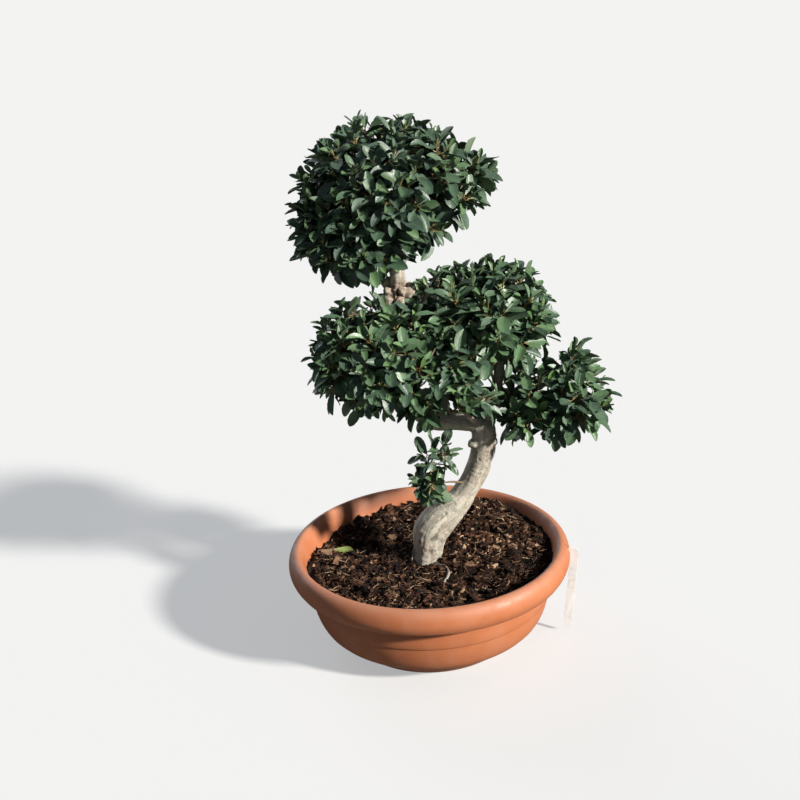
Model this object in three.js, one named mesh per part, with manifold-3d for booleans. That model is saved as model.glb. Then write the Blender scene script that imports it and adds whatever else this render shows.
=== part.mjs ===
// A robusta ficus bonsai, about 0.93 m tall, in a shallow terracotta-coloured bowl 500 mm across.
//
// Millimetres, +Z up. The origin is the middle of the bowl's flat base, +X runs to the right as the tree is
// looked at from its front, and -Y points at the viewer.
//
// The wood is one solid: root stock, S-shaped trunk, limbs and knots. It stands in a plain hole in the soil.
// Each leafy head is a solid of its own: a dense inner core of twigs, with shoots that stand out of it and
// end in a rosette of leaves. The limbs reach into sockets in the heads.

import * as THREE from "three";
import { mergeVertices } from "three/addons/utils/BufferGeometryUtils.js";
import Module from "manifold-3d";

const wasm = await Module();
wasm.setup();

// Driving dimensions of the bowl
const BOWL_HEIGHT = 180;
const RIM_RADIUS = 250;
const RIM_HEIGHT = 44;
const RIM_EDGE_RADIUS = 243;
const CREST_RADIUS = 234;
const SHOULDER_RADIUS = 219;
const BELLY_RADIUS = 196;
const BASE_RADIUS = 145;
const HEEL_RADIUS = 158;
const FLANK_RADIUS = 210;
const WALL = 3;
const FLOOR = 5;
const SIDES = 32;
const DRAIN_HOLES = 6;
const DRAIN_RADIUS = 6;
const DRAIN_CIRCLE = 88;

// Driving dimensions of the soil
const SOIL_LEVEL = 155;
const SOIL_SLOPE = 0.02;
const SOIL_FALL = 6;
const SOIL_ROUGHNESS = 5;
// A mound right of the trunk, a bank at the back right, a dip at the trunk's foot and a hollow at the back
// left, each [x, y, reach along X, reach along Y, height]
const SOIL_SWELLS = [
  [75, -15, 85, 85, 8],
  [105, 160, 115, 75, 17],
  [-5, -32, 48, 48, -7],
  [-100, 82, 95, 50, -25],
];
const CHIP_COUNT = 12;
const CHIP_LENGTH = 16;
const CHIP_WIDTH = 7;
const CHIP_THICKNESS = 8;
const CHIP_CIRCLE = 60;
const CHIP_SPREAD = 135;

// Driving dimensions of the leaves
const LEAF_LENGTH = 43;
const LEAF_WIDTH = 22;
const LEAF_THICKNESS = 2.2;
const LEAF_ARCH = 0.2;
const SHORTEST_LEAF = 0.84;
const LONGEST_LEAF = 1.14;
const WHORL = 5;
const SHOOT_RADIUS = 2.4;
const BUD_HEIGHT = 5;
const MIN_TILT = 0.85;
const MAX_TILT = 1.35;
const CORE_SHARE = 0.6;
const FOOT_SHARE = 0.2;
const LEAST_REACH = 0.93;
const REACH_SPREAD = 0.14;
const UPWARD = 0.45;
const OWN_COVER = 0.84;
const OTHER_COVER = 1.02;
const GOLDEN_ANGLE = Math.PI * (3 - Math.sqrt(5));

// Clearance between two solids that touch on the real tree
const SEAT = 0.35;

// Driving dimensions of the plant tag, a blank hooked strip that hangs in a slit in the rim
const TAG_WIDTH = 14;
const TAG_LENGTH = 158;
const TAG_THICKNESS = 1;
const TAG_ANGLE = THREE.MathUtils.degToRad(-9);
const TAG_STANDOFF = 1.2;
const TAG_LEAN = THREE.MathUtils.degToRad(5);
const SLIT_WIDTH = TAG_THICKNESS + 2 * SEAT;
const SLIT_BOTTOM = 162;

const UP = new THREE.Vector3(0, 0, 1);

const colours = {
  terracotta: new THREE.MeshStandardMaterial({ color: 0xc4704a, roughness: 0.55, metalness: 0 }),
  soil: new THREE.MeshStandardMaterial({ color: 0x3a2a20, roughness: 0.95, metalness: 0 }),
  bark: new THREE.MeshStandardMaterial({ color: 0xa89c88, roughness: 0.85, metalness: 0 }),
  foliage: new THREE.MeshStandardMaterial({ color: 0x2f5638, roughness: 0.45, metalness: 0 }),
  tag: new THREE.MeshStandardMaterial({ color: 0xf2f2ee, roughness: 0.5, metalness: 0 }),
};

// Solids and meshes

// A closed three.js geometry as a manifold-3d solid.
function solidOf(geometry) {
  const bare = geometry.index ? geometry.toNonIndexed() : geometry.clone();
  bare.deleteAttribute("normal");
  bare.deleteAttribute("uv");
  const merged = mergeVertices(bare, 1e-4);
  return new wasm.Manifold(
    new wasm.Mesh({
      numProp: 3,
      vertProperties: new Float32Array(merged.attributes.position.array),
      triVerts: new Uint32Array(merged.index.array),
    }),
  );
}

// The named mesh of a solid. Loose scraps that a cut leaves are dropped.
function meshOf(name, solid, material) {
  const bodies = solid.decompose().sort((a, b) => b.volume() - a.volume());
  const made = bodies[0].getMesh();
  const geometry = new THREE.BufferGeometry();
  geometry.setAttribute("position", new THREE.BufferAttribute(new Float32Array(made.vertProperties), 3));
  geometry.setIndex(new THREE.BufferAttribute(new Uint32Array(made.triVerts), 1));
  geometry.computeVertexNormals();
  const mesh = new THREE.Mesh(geometry, material);
  mesh.name = name;
  return mesh;
}

function joined(solids) {
  return wasm.Manifold.union(solids);
}

// Seeded draws from 0 to 1, the same each run.
function makeRandom(seed) {
  let state = seed;
  return () => {
    state = (state * 1664525 + 1013904223) % 4294967296;
    return state / 4294967296;
  };
}

function vector([x, y, z]) {
  return new THREE.Vector3(x, y, z);
}

// A round limb along a smooth curve. Each station is [x, y, z, radius]. The ridges swell its section.
function limbGeometry(stations, { sides, steps, extra = 0, ridges = 0 }) {
  const curve = new THREE.CatmullRomCurve3(stations.map(vector), false, "centripetal");
  const frames = curve.computeFrenetFrames(steps, false);
  const geometry = new THREE.CylinderGeometry(1, 1, 1, sides, steps);
  const position = geometry.attributes.position;
  const last = stations.length - 1;
  for (let i = 0; i < position.count; i++) {
    const along = position.getY(i) + 0.5;
    const step = Math.round(along * steps);
    const place = Math.min(along * last, last - 1e-6);
    const low = Math.floor(place);
    const blend = place - low;
    const across = Math.hypot(position.getX(i), position.getZ(i));
    const angle = Math.atan2(position.getZ(i), position.getX(i));
    const swell = 1 + ridges * (Math.sin(3 * angle + 7 * along) + 0.6 * Math.sin(5 * angle - 11 * along));
    const plain = stations[low][3] * (1 - blend) + stations[low + 1][3] * blend;
    const radius = across * (plain * swell + extra);
    const centre = curve.getPoint(along);
    centre.addScaledVector(frames.normals[step], radius * Math.sin(angle));
    centre.addScaledVector(frames.binormals[step], radius * Math.cos(angle));
    position.setXYZ(i, centre.x, centre.y, centre.z);
  }
  return geometry;
}

// The bowl: a thin moulded shell with a hollow turned-down rim, drain holes and a slit for the tag

const RIM_EDGE = BOWL_HEIGHT - RIM_HEIGHT;
const bodyOutside = [
  [BASE_RADIUS, 0],
  [HEEL_RADIUS, 15],
  [BELLY_RADIUS, 44],
  [FLANK_RADIUS, 76],
  [SHOULDER_RADIUS, RIM_EDGE],
];
const rimHollow = [
  [226, 164],
  [CREST_RADIUS, BOWL_HEIGHT - 1.5 * WALL],
  [RIM_RADIUS - 6.5, 168],
  [RIM_RADIUS - 3.5, 153],
  [RIM_EDGE_RADIUS - WALL, RIM_EDGE + 1],
];
const rimOutside = [
  [RIM_EDGE_RADIUS, RIM_EDGE],
  [RIM_RADIUS, 152],
  [RIM_RADIUS - 2, 167],
  [RIM_RADIUS - 8, BOWL_HEIGHT - 3],
  [CREST_RADIUS, BOWL_HEIGHT],
  [CREST_RADIUS - 5, BOWL_HEIGHT - 3],
];
const bodyInside = [
  [BASE_RADIUS - 2, FLOOR],
  [HEEL_RADIUS - WALL, FLOOR + 12.5],
  [BELLY_RADIUS - WALL, 46],
  [FLANK_RADIUS - WALL, 77],
  [SHOULDER_RADIUS - WALL, RIM_EDGE],
  [SHOULDER_RADIUS + 2.5, 160],
];

// The radius of the bowl's inner wall at a height. The soil follows it.
function innerRadius(height) {
  const wall = [...bodyInside, rimOutside.at(-1)];
  const upper = wall.findIndex(([, z]) => z >= height);
  const [r0, z0] = wall[upper - 1];
  const [r1, z1] = wall[upper];
  return r0 + ((r1 - r0) * (height - z0)) / (z1 - z0);
}

function latheGeometry(outline) {
  const points = outline.map(([r, z]) => new THREE.Vector2(r, z));
  return new THREE.LatheGeometry(points, SIDES).rotateX(Math.PI / 2);
}

function bowlSolid() {
  const inside = [...bodyInside].reverse();
  const shell = latheGeometry([[0, 0], ...bodyOutside, ...rimHollow, ...rimOutside, ...inside, [0, FLOOR]]);
  const drains = Array.from({ length: DRAIN_HOLES }, (_, i) => {
    const angle = ((i + 0.5) * 2 * Math.PI) / DRAIN_HOLES;
    const hole = new THREE.CylinderGeometry(DRAIN_RADIUS, DRAIN_RADIUS, 4 * FLOOR, 6);
    hole.rotateX(Math.PI / 2).translate(DRAIN_CIRCLE * Math.cos(angle), DRAIN_CIRCLE * Math.sin(angle), 0);
    return solidOf(hole);
  });
  const slitHeight = BOWL_HEIGHT + WALL - SLIT_BOTTOM;
  const slit = new THREE.BoxGeometry(12, SLIT_WIDTH, slitHeight);
  slit.translate(RIM_RADIUS - 4, 0, SLIT_BOTTOM + slitHeight / 2).rotateZ(TAG_ANGLE);
  return solidOf(shell).subtract(joined([...drains, solidOf(slit)]));
}

// The wood. Each station is [x, y, z, radius].

const trunkStations = [
  [-6, -12, 62, 13],
  [-5, -13, 100, 21],
  [-3, -14, 137, 25],
  [-3, -14, 158, 26],
  [-1, -13, 176, 27],
  [1, -12, 190, 29],
  [5, -10, 204, 31],
  [13, -9, 216, 31],
  [24, -7, 227, 30],
  [37, -5, 238, 27.5],
  [49, -2, 248, 25],
  [61, 1, 259, 22.7],
  [71, 4, 273, 21.5],
  [79, 6, 285, 20.7],
  [86, 8, 299, 20.5],
  [94, 8, 315, 20.7],
  [99, 7, 330, 20.5],
  [103, 6, 345, 21.3],
  [105, 4, 372, 21.5],
  [102, 3, 392, 21],
  [94, 4, 404, 14],
];
const leftLimbStations = [
  [99, 4, 394, 15],
  [80, 7, 402, 18],
  [54, 12, 404, 17.5],
  [28, 18, 404, 17.5],
  [6, 24, 413, 17],
  [-15, 26, 438, 16.5],
  [-29, 22, 478, 16],
  [-36, 17, 526, 15.5],
  [-37, 12, 572, 16],
  [-34, 8, 614, 17],
  [-29, 6, 640, 19],
  [-28, 4, 668, 12.5],
  [-31, 2, 704, 11],
  [-36, 0, 738, 9],
];
const rightLimbStations = [
  [105, 4, 378, 15],
  [114, 7, 408, 14],
  [125, 10, 440, 12],
  [133, 11, 469, 10.5],
  [136, 15, 500, 9],
  [130, 22, 528, 7],
];
const sideLimbs = [
  // out of the burl into the top head
  [[-30, 6, 640, 12], [-24, 8, 672, 8], [-12, 10, 706, 6.5], [6, 6, 742, 5]],
  [[-30, 6, 636, 14], [-52, 4, 664, 8], [-74, -4, 692, 6.5], [-92, -8, 724, 5]],
  [[-29, 6, 648, 13], [-30, -16, 678, 8], [-34, -34, 706, 6], [-38, -46, 738, 4.5]],
  // out of the left limb's elbow into the left of the middle head
  [[-14, 26, 436, 14], [-26, 4, 452, 9], [-40, -12, 476, 7.5], [-54, -24, 504, 5.5]],
  // from the right limb to the right head
  [[128, 10, 446, 9], [152, 8, 450, 8], [184, 4, 444, 7], [216, 0, 446, 5.5]],
  // from the top of the trunk to the front of the middle head
  [[100, 2, 398, 12], [84, -14, 418, 7], [68, -26, 440, 5.5], [56, -34, 466, 4.5]],
];
const sideRoots = [
  // one that comes up out of the soil in front of the trunk and goes down again
  [
    [2, -22, 142, 11],
    [15, -46, 155, 4.4],
    [27, -63, 159, 3.4],
    [31, -81, 160.5, 3.2],
    [28, -100, 160, 3],
    [20, -113, 156, 2.8],
    [12, -120, 145, 2.6],
  ],
  [[-4, -13, 118, 14], [-44, -26, 102, 9], [-92, -40, 84, 5]],
  [[-4, -13, 114, 14], [34, 10, 98, 9], [78, 34, 82, 5]],
];
// Healed stubs and the burl's lumps, each [x, y, z, radius]
const knots = [
  [86, -6, 366, 9],
  [120, -4, 367, 9],
  [-14, -5, 641, 12],
  [-45, -3, 628, 12],
  [-22, -10, 610, 9],
];

const FINE_KNOT = 10;

function woodSolid(extra) {
  const trunk = limbGeometry(trunkStations, { sides: 12, steps: 20, extra, ridges: 0.03 });
  const left = limbGeometry(leftLimbStations, { sides: 8, steps: 14, extra, ridges: 0.04 });
  const right = limbGeometry(rightLimbStations, { sides: 7, steps: 6, extra });
  const limbs = sideLimbs.map((stations) => limbGeometry(stations, { sides: 5, steps: 3, extra }));
  const roots = sideRoots.map((stations) => limbGeometry(stations, { sides: 5, steps: 3, extra }));
  const lumps = knots.map(([x, y, z, r]) => {
    const detail = r > FINE_KNOT ? 1 : 0;
    return new THREE.IcosahedronGeometry(r + extra, detail).translate(x, y, z);
  });
  return joined([trunk, left, right, ...limbs, ...roots, ...lumps].map(solidOf));
}

// The soil

// The surface: its swells, each a bell that fades with the distance from its middle, a slope up to the right, a
// fall to the rim, and clods as a sum of waves.
function soilHeight(x, y) {
  const bells = SOIL_SWELLS.map(
    ([middleX, middleY, reachX, reachY, height]) =>
      height * Math.exp(-(((x - middleX) / reachX) ** 2) - ((y - middleY) / reachY) ** 2),
  );
  const swell = bells.reduce((sum, bell) => sum + bell);
  const slope = SOIL_SLOPE * x;
  const fall = SOIL_FALL * (Math.hypot(x, y) / SHOULDER_RADIUS) ** 6;
  const broad = Math.sin(x * 0.031 + 1.3) * Math.cos(y * 0.027 - 0.4);
  const clods = Math.sin(x * 0.113 + y * 0.071) * Math.sin(y * 0.127 - x * 0.053 + 2.1);
  return SOIL_LEVEL + swell + slope - fall + SOIL_ROUGHNESS * (0.5 * broad + 0.6 * clods);
}

// A round of soil whose sides follow the bowl's inner wall.
function soilBody() {
  const edge = innerRadius(SOIL_LEVEL);
  const rings = [1, 0.88, 0.7, 0.5, 0.3].map((share) => [share * edge, SOIL_LEVEL]);
  const sides = bodyInside.filter(([, z]) => z <= RIM_EDGE && z > FLOOR);
  const bottom = [BASE_RADIUS - 2 - 2 * SEAT, FLOOR + SEAT];
  const wall = sides.map(([r, z]) => [r - SEAT, z + SEAT]);
  const geometry = latheGeometry([[0, FLOOR + SEAT], bottom, ...wall, ...rings, [0, SOIL_LEVEL]]);
  const position = geometry.attributes.position;
  for (let i = 0; i < position.count; i++) {
    if (Math.abs(position.getZ(i) - SOIL_LEVEL) > 0.01) continue;
    const [x, y] = [position.getX(i), position.getY(i)];
    const atEdge = Math.hypot(x, y) > 0.99 * edge;
    const height = Math.max(soilHeight(x, y), atEdge ? RIM_EDGE + 2 : 0);
    const share = atEdge ? (innerRadius(Math.min(height, bodyInside.at(-1)[1])) - SEAT) / edge : 1;
    position.setXYZ(i, x * share, y * share, height);
  }
  return solidOf(geometry);
}

// Pieces of bark mulch, half sunk in the surface.
function barkChips() {
  const random = makeRandom(11);
  return Array.from({ length: CHIP_COUNT }, (_, i) => {
    const angle = i * GOLDEN_ANGLE + random();
    const reach = CHIP_CIRCLE + CHIP_SPREAD * Math.sqrt((i + 0.5) / CHIP_COUNT);
    const [x, y] = [reach * Math.cos(angle), reach * Math.sin(angle)];
    const [length, width] = [CHIP_LENGTH * (1 + random()), CHIP_WIDTH + 6 * random()];
    const chip = new THREE.BoxGeometry(length, width, CHIP_THICKNESS);
    chip.rotateX(0.5 * (random() - 0.5)).rotateY(0.5 * (random() - 0.5)).rotateZ(Math.PI * random());
    return solidOf(chip.translate(x, y, soilHeight(x, y)));
  });
}

// Leaves and rosettes

// The free corners of a blade, broadest past its middle and arched down to its blunt tip: right middle, right
// tip, left tip, left middle, and the ridge of its midrib. The normal is the way its upper face looks.
function bladeCorners({ root, direction, normal, length }) {
  const side = new THREE.Vector3().crossVectors(normal, direction).normalize();
  const halfWidth = (LEAF_WIDTH * length) / LEAF_LENGTH / 2;
  const arch = LEAF_ARCH * length;
  const point = (along, across, lift = 0) =>
    root
      .clone()
      .addScaledVector(direction, along * length)
      .addScaledVector(side, across * halfWidth)
      .addScaledVector(normal, lift - arch * along ** 2);
  return [point(0.52, -1), point(0.97, -0.46), point(0.97, 0.46), point(0.52, 1), point(0.6, 0, LEAF_THICKNESS)];
}

// The faces of a blade that grows from the edge between two corners of a shoot's tip, with the bud above them.
// The blade's own corners start at first, in bladeCorners' order.
function bladeFaces(rootRight, rootLeft, bud, first) {
  const [midRight, tipRight, tipLeft, midLeft, ridge] = [0, 1, 2, 3, 4].map((k) => first + k);
  const rim = [bud, rootRight, midRight, tipRight, tipLeft, midLeft, rootLeft];
  const upper = rim.flatMap((corner, i) => [ridge, corner, rim[(i + 1) % rim.length]]);
  const lower = [rootRight, rootLeft, midLeft, rootRight, midLeft, midRight];
  lower.push(midRight, midLeft, tipLeft, midRight, tipLeft, tipRight);
  return [...upper, ...lower];
}

function closedGeometry(corners, faces) {
  const geometry = new THREE.BufferGeometry().setFromPoints(corners);
  geometry.setIndex(faces);
  return geometry;
}

// A shoot that ends in a whorl of leaves, one from each side of it, each with its own tilt and length.
function makeRosette(heart, axis, foot, random) {
  const across = new THREE.Vector3(0.31, -0.77, 0.55).cross(axis).normalize();
  const other = new THREE.Vector3().crossVectors(axis, across);
  const turn = 2 * Math.PI * random();
  const spoke = (place) => {
    const angle = turn + (place * 2 * Math.PI) / WHORL;
    return across.clone().multiplyScalar(Math.cos(angle)).addScaledVector(other, Math.sin(angle));
  };
  const blades = Array.from({ length: WHORL }, (_, i) => {
    const outward = spoke(i + 0.5);
    const tilt = THREE.MathUtils.lerp(MIN_TILT, MAX_TILT, random());
    const direction = axis.clone().multiplyScalar(Math.cos(tilt)).addScaledVector(outward, Math.sin(tilt));
    const normal = axis.clone().addScaledVector(direction, -Math.cos(tilt)).normalize();
    const length = LEAF_LENGTH * THREE.MathUtils.lerp(SHORTEST_LEAF, LONGEST_LEAF, random());
    return { root: heart, direction, normal, length };
  });
  return { heart, axis, foot, spoke, blades };
}

// The rosette as one closed surface. Leaves whose place in grown is false are left out.
function rosetteSolid({ heart, axis, foot, spoke, blades }, grown) {
  const ring = blades.map((_, i) => heart.clone().addScaledVector(spoke(i), SHOOT_RADIUS));
  const [end, bud] = [WHORL, WHORL + 1];
  const corners = [...ring, foot, heart.clone().addScaledVector(axis, BUD_HEIGHT)];
  const faces = [];
  blades.forEach((blade, i) => {
    const next = (i + 1) % WHORL;
    faces.push(i, end, next);
    if (grown[i]) {
      faces.push(...bladeFaces(i, next, bud, corners.length));
      corners.push(...bladeCorners(blade));
    } else {
      faces.push(bud, i, next);
    }
  });
  return solidOf(closedGeometry(corners, faces));
}

// Leafy heads. Each lobe is [x, y, z, half width, half depth, half height, rosettes], measured to the hearts of
// its rosettes, which its leaves pass by about 25 mm.
const heads = [
  {
    name: "crown_top",
    seed: 3,
    lobes: [
      [-31, 5, 818, 131, 120, 87, 46],
      [-100, -8, 766, 76, 78, 62, 23],
      [-80, -28, 746, 82, 78, 51, 21],
    ],
  },
  {
    name: "crown_middle",
    seed: 5,
    lobes: [
      [-60, -22, 541, 106, 98, 80, 37],
      [122, 30, 577, 92, 98, 78, 32],
      [66, 22, 592, 76, 84, 58, 17],
      [44, -14, 528, 82, 82, 58, 22],
      [50, -50, 468, 64, 54, 40, 15],
    ],
  },
  {
    name: "crown_right",
    seed: 9,
    lobes: [
      [240, 0, 440, 66, 66, 52, 19],
      [190, -4, 452, 42, 50, 50, 10],
      [174, -14, 420, 30, 42, 30, 9],
      [256, 4, 480, 24, 26, 46, 7],
    ],
  },
];

// How far out a point lies in a lobe: 0 at its middle, 1 at its rosettes.
function shareOf([cx, cy, cz, a, b, c], p) {
  return Math.hypot((p.x - cx) / a, (p.y - cy) / b, (p.z - cz) / c);
}

function pointOf([cx, cy, cz, a, b, c], outward, share) {
  return new THREE.Vector3(cx + a * outward.x * share, cy + b * outward.y * share, cz + c * outward.z * share);
}

// A lobe's dense inside of twigs and old leaves, a smaller and uneven ball that the rosettes stand out of.
function coreGeometry(lobe, extra) {
  const geometry = new THREE.IcosahedronGeometry(1, 1);
  const position = geometry.attributes.position;
  for (let i = 0; i < position.count; i++) {
    const outward = new THREE.Vector3().fromBufferAttribute(position, i);
    const dents = 0.13 * Math.sin(9 * outward.x + 2) * Math.sin(8 * outward.y - 1);
    const share = CORE_SHARE * (1 + dents + 0.09 * Math.sin(11 * outward.z));
    const p = pointOf(lobe, outward, share).addScaledVector(outward, extra);
    position.setXYZ(i, p.x, p.y, p.z);
  }
  return geometry;
}

function coreOf(head, extra) {
  return joined(head.lobes.map((lobe) => solidOf(coreGeometry(lobe, extra))));
}

// Rosettes spread evenly over each lobe, and left out where another lobe covers them.
function rosettesOf(head) {
  const random = makeRandom(head.seed);
  const limitOf = (other) => (other === head ? OWN_COVER : OTHER_COVER);
  const everyLobe = heads.flatMap((other) => other.lobes.map((lobe) => ({ lobe, limit: limitOf(other) })));
  const isOutside = (each, point) => shareOf(each.lobe, point) > each.limit;
  return head.lobes.flatMap((lobe) => {
    const count = lobe[6];
    const spots = Array.from({ length: count }, (_, i) => {
      const z = 1 - (2 * (i + 0.5)) / count;
      const azimuth = i * GOLDEN_ANGLE + 0.5 * (random() - 0.5);
      const round = Math.sqrt(1 - z * z);
      const outward = new THREE.Vector3(round * Math.cos(azimuth), round * Math.sin(azimuth), z);
      return { outward, reach: LEAST_REACH + REACH_SPREAD * random() };
    });
    return spots
      .map(({ outward, reach }) => ({ outward, heart: pointOf(lobe, outward, reach) }))
      .filter(({ heart }) => everyLobe.every((each) => each.lobe === lobe || isOutside(each, heart)))
      .map(({ outward, heart }) => {
        const axis = outward.clone().divide(new THREE.Vector3(lobe[3], lobe[4], lobe[5])).normalize();
        axis.addScaledVector(UP, UPWARD).normalize();
        return makeRosette(heart, axis, pointOf(lobe, outward, FOOT_SHARE), random);
      });
  });
}

function boxesMeet(a, b) {
  return [0, 1, 2].every((k) => a.min[k] < b.max[k] && b.min[k] < a.max[k]);
}

// The solids of those of the rosettes that grow clear of the others and of the obstacles. A leaf that would
// cross one that is there already isn't grown.
function grow(rosettes, obstacles) {
  const grownSolids = [];
  const blocked = (solid) => {
    const box = solid.boundingBox();
    const near = grownSolids.filter((other) => boxesMeet(box, other.boundingBox()));
    return [...obstacles, ...near].some((other) => !solid.intersect(other).isEmpty());
  };
  for (const rosette of rosettes) {
    const none = rosette.blades.map(() => false);
    if (blocked(rosetteSolid(rosette, none))) continue;
    const grown = rosette.blades.map((_, i) => !blocked(rosetteSolid(rosette, none.with(i, true))));
    grownSolids.push(rosetteSolid(rosette, grown));
  }
  return grownSolids;
}

// Leaves that would reach into the wood or into another head aren't grown.
function leafyHeads(wideWood) {
  const cores = heads.map((head) => coreOf(head, 2));
  const finished = [];
  return heads.map((head, index) => {
    const others = cores.filter((_, i) => i !== index);
    const rosettes = grow(rosettesOf(head), [wideWood, ...others, ...finished]);
    const solid = joined([coreOf(head, 0), ...rosettes]).subtract(wideWood);
    finished.push(solid);
    return meshOf(head.name, solid, colours.foliage);
  });
}

// The low sprig: a stem out of the trunk with a branch, and rosettes along them

const sprigStems = [
  [[66, -4, 292, 2.8], [44, -20, 303, 2.6], [28, -27, 304, 2.4], [10, -31, 303, 2.2]],
  [[20, -29, 304, 2.2], [8, -28, 328, 2], [4, -27, 348, 2]],
  [[30, -26, 304, 2.2], [35, -26, 334, 2], [36, -26, 364, 2]],
];
// Each [heart x, y, z, axis x, y, z]
const sprigRosettes = [
  [10, -33, 304, 0, -0.85, 0.5],
  [-2, -28, 290, -0.5, -0.3, -0.6],
  [4, -27, 350, -0.6, -0.3, 0.6],
  [35, -26, 338, 0.5, -0.6, 0.5],
  [36, -26, 366, 0.1, -0.2, 1],
];

function sprigStemSolid(extra) {
  return joined(sprigStems.map((stations) => solidOf(limbGeometry(stations, { sides: 5, steps: 3, extra }))));
}

function sprigSolid(wideWood) {
  const random = makeRandom(17);
  const rosettes = sprigRosettes.map(([x, y, z, ...aim]) => {
    const heart = new THREE.Vector3(x, y, z);
    const axis = vector(aim).normalize();
    return makeRosette(heart, axis, heart.clone().addScaledVector(axis, -14), random);
  });
  return joined([sprigStemSolid(0), ...grow(rosettes, [wideWood])]);
}

// A leaf that has dropped at the left, let down until it lies on the soil

function droppedLeafSolid(soil) {
  const direction = new THREE.Vector3(1, -0.12, 0).normalize();
  const root = new THREE.Vector3(-178, 58, SOIL_LEVEL + 6 * SOIL_ROUGHNESS);
  const step = SEAT / 2;
  const leaf = () => {
    const corners = bladeCorners({ root, direction, normal: UP, length: LEAF_LENGTH });
    const faces = [4, 5, 0, 4, 0, 1, 4, 1, 2, 4, 2, 3, 4, 3, 5, 5, 3, 0, 0, 3, 2, 0, 2, 1];
    return solidOf(closedGeometry([...corners, root], faces));
  };
  while (leaf().intersect(soil).isEmpty()) root.z -= step;
  root.z += 2 * step;
  return leaf();
}

// The tag: its tongue goes through the slit and hooks behind the rim, its blade hangs down outside

function tagSolid() {
  const neck = SLIT_BOTTOM + SEAT;
  const top = neck + 9;
  const bottom = top - TAG_LENGTH;
  const edge = (z, across) => RIM_RADIUS + TAG_STANDOFF + across - Math.max(neck - z, 0) * Math.tan(TAG_LEAN);
  const outline = new THREE.Shape();
  outline.moveTo(RIM_RADIUS - 11, neck - 8);
  outline.lineTo(RIM_RADIUS - 7.5, neck - 8);
  outline.lineTo(RIM_RADIUS - 6.5, neck);
  outline.lineTo(edge(neck, 0), neck);
  outline.lineTo(edge(bottom + 3, 0), bottom + 3);
  outline.lineTo(edge(bottom, 3), bottom);
  outline.lineTo(edge(bottom, TAG_WIDTH - 3), bottom);
  outline.lineTo(edge(bottom + 3, TAG_WIDTH), bottom + 3);
  outline.lineTo(edge(neck, TAG_WIDTH), neck);
  outline.quadraticCurveTo(edge(top, TAG_WIDTH - 1), top - 1, edge(top, 1), top);
  outline.lineTo(RIM_RADIUS - 8, neck + 6);
  const plate = { depth: TAG_THICKNESS, bevelEnabled: false, curveSegments: 4 };
  const geometry = new THREE.ExtrudeGeometry(outline, plate);
  geometry.translate(0, 0, -TAG_THICKNESS / 2).rotateX(Math.PI / 2);
  return solidOf(geometry.rotateZ(TAG_ANGLE));
}

// Assembly

const wideWood = woodSolid(SEAT);
const soil = joined([soilBody(), ...barkChips()]).subtract(wideWood);

const bonsai = new THREE.Group();
bonsai.add(meshOf("bowl", bowlSolid(), colours.terracotta));
bonsai.add(meshOf("soil", soil, colours.soil));
bonsai.add(meshOf("trunk", woodSolid(0).subtract(sprigStemSolid(SEAT)), colours.bark));
bonsai.add(...leafyHeads(wideWood));
bonsai.add(meshOf("sprig", sprigSolid(wideWood), colours.foliage));
bonsai.add(meshOf("dropped_leaf", droppedLeafSolid(soil), colours.foliage));
bonsai.add(meshOf("plant_tag", tagSolid(), colours.tag));

export default bonsai;
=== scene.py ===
"""The looks of a robusta ficus bonsai in its bowl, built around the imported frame.

Metres, +Z up. The origin is the middle of the bowl's flat base, +X runs to the right as the tree is looked at
from its front, and -Y points at the viewer. Stations, lobes and outlines are written in millimetres.
"""

import itertools
import logging
import math
from dataclasses import dataclass, field
from enum import Enum
from typing import Callable, ClassVar, Sequence

import bpy
import numpy as np
from mathutils import Matrix


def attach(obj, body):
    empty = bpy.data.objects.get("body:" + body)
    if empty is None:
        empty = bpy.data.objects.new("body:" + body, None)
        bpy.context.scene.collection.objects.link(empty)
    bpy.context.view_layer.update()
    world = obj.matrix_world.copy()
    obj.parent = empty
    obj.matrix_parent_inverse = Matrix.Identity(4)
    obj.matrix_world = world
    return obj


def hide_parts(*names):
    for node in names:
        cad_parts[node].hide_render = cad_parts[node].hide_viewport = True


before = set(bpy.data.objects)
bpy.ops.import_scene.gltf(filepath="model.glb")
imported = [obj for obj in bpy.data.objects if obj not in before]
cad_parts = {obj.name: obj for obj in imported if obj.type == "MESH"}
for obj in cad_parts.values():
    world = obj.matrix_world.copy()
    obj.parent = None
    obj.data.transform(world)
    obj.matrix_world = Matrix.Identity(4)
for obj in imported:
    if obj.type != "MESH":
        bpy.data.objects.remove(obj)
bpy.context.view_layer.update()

log = logging.getLogger("bonsai")

Array = np.ndarray
Colour = tuple[float, float, float]
Vector = Sequence[float]
Pair = tuple[float, float]
Outline = list[tuple[float, float]]
Station = tuple[float, float, float, float]
Lobe = tuple[float, float, float, float, float, float, int]

MM = 0.001
TINY = 1e-9
UP = np.array([0.0, 0.0, 1.0])
GOLDEN_ANGLE = math.pi * (3 - math.sqrt(5))
STEEP = 0.9
LATTICE_VALUES = 4096
LATTICE_PRIMES = (73856093, 19349663, 83492791)
BATCH = 8192
LEAF_CREASE = math.radians(75)

BOX_CORNERS = np.array(list(itertools.product((-1, 1), repeat=3)))
BOX_FACES = np.array([(0, 1, 3, 2), (4, 6, 7, 5), (0, 4, 5, 1), (2, 3, 7, 6), (0, 2, 6, 4), (1, 5, 7, 3)])
OCTAHEDRON_CORNERS = np.array([(1, 0, 0), (-1, 0, 0), (0, 1, 0), (0, -1, 0), (0, 0, 1), (0, 0, -1)])
OCTAHEDRON_FACES = np.array(
    [(a, b, c) if (a + b + c) % 2 == 0 else (b, a, c) for a in (0, 1) for b in (2, 3) for c in (4, 5)]
)


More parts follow.
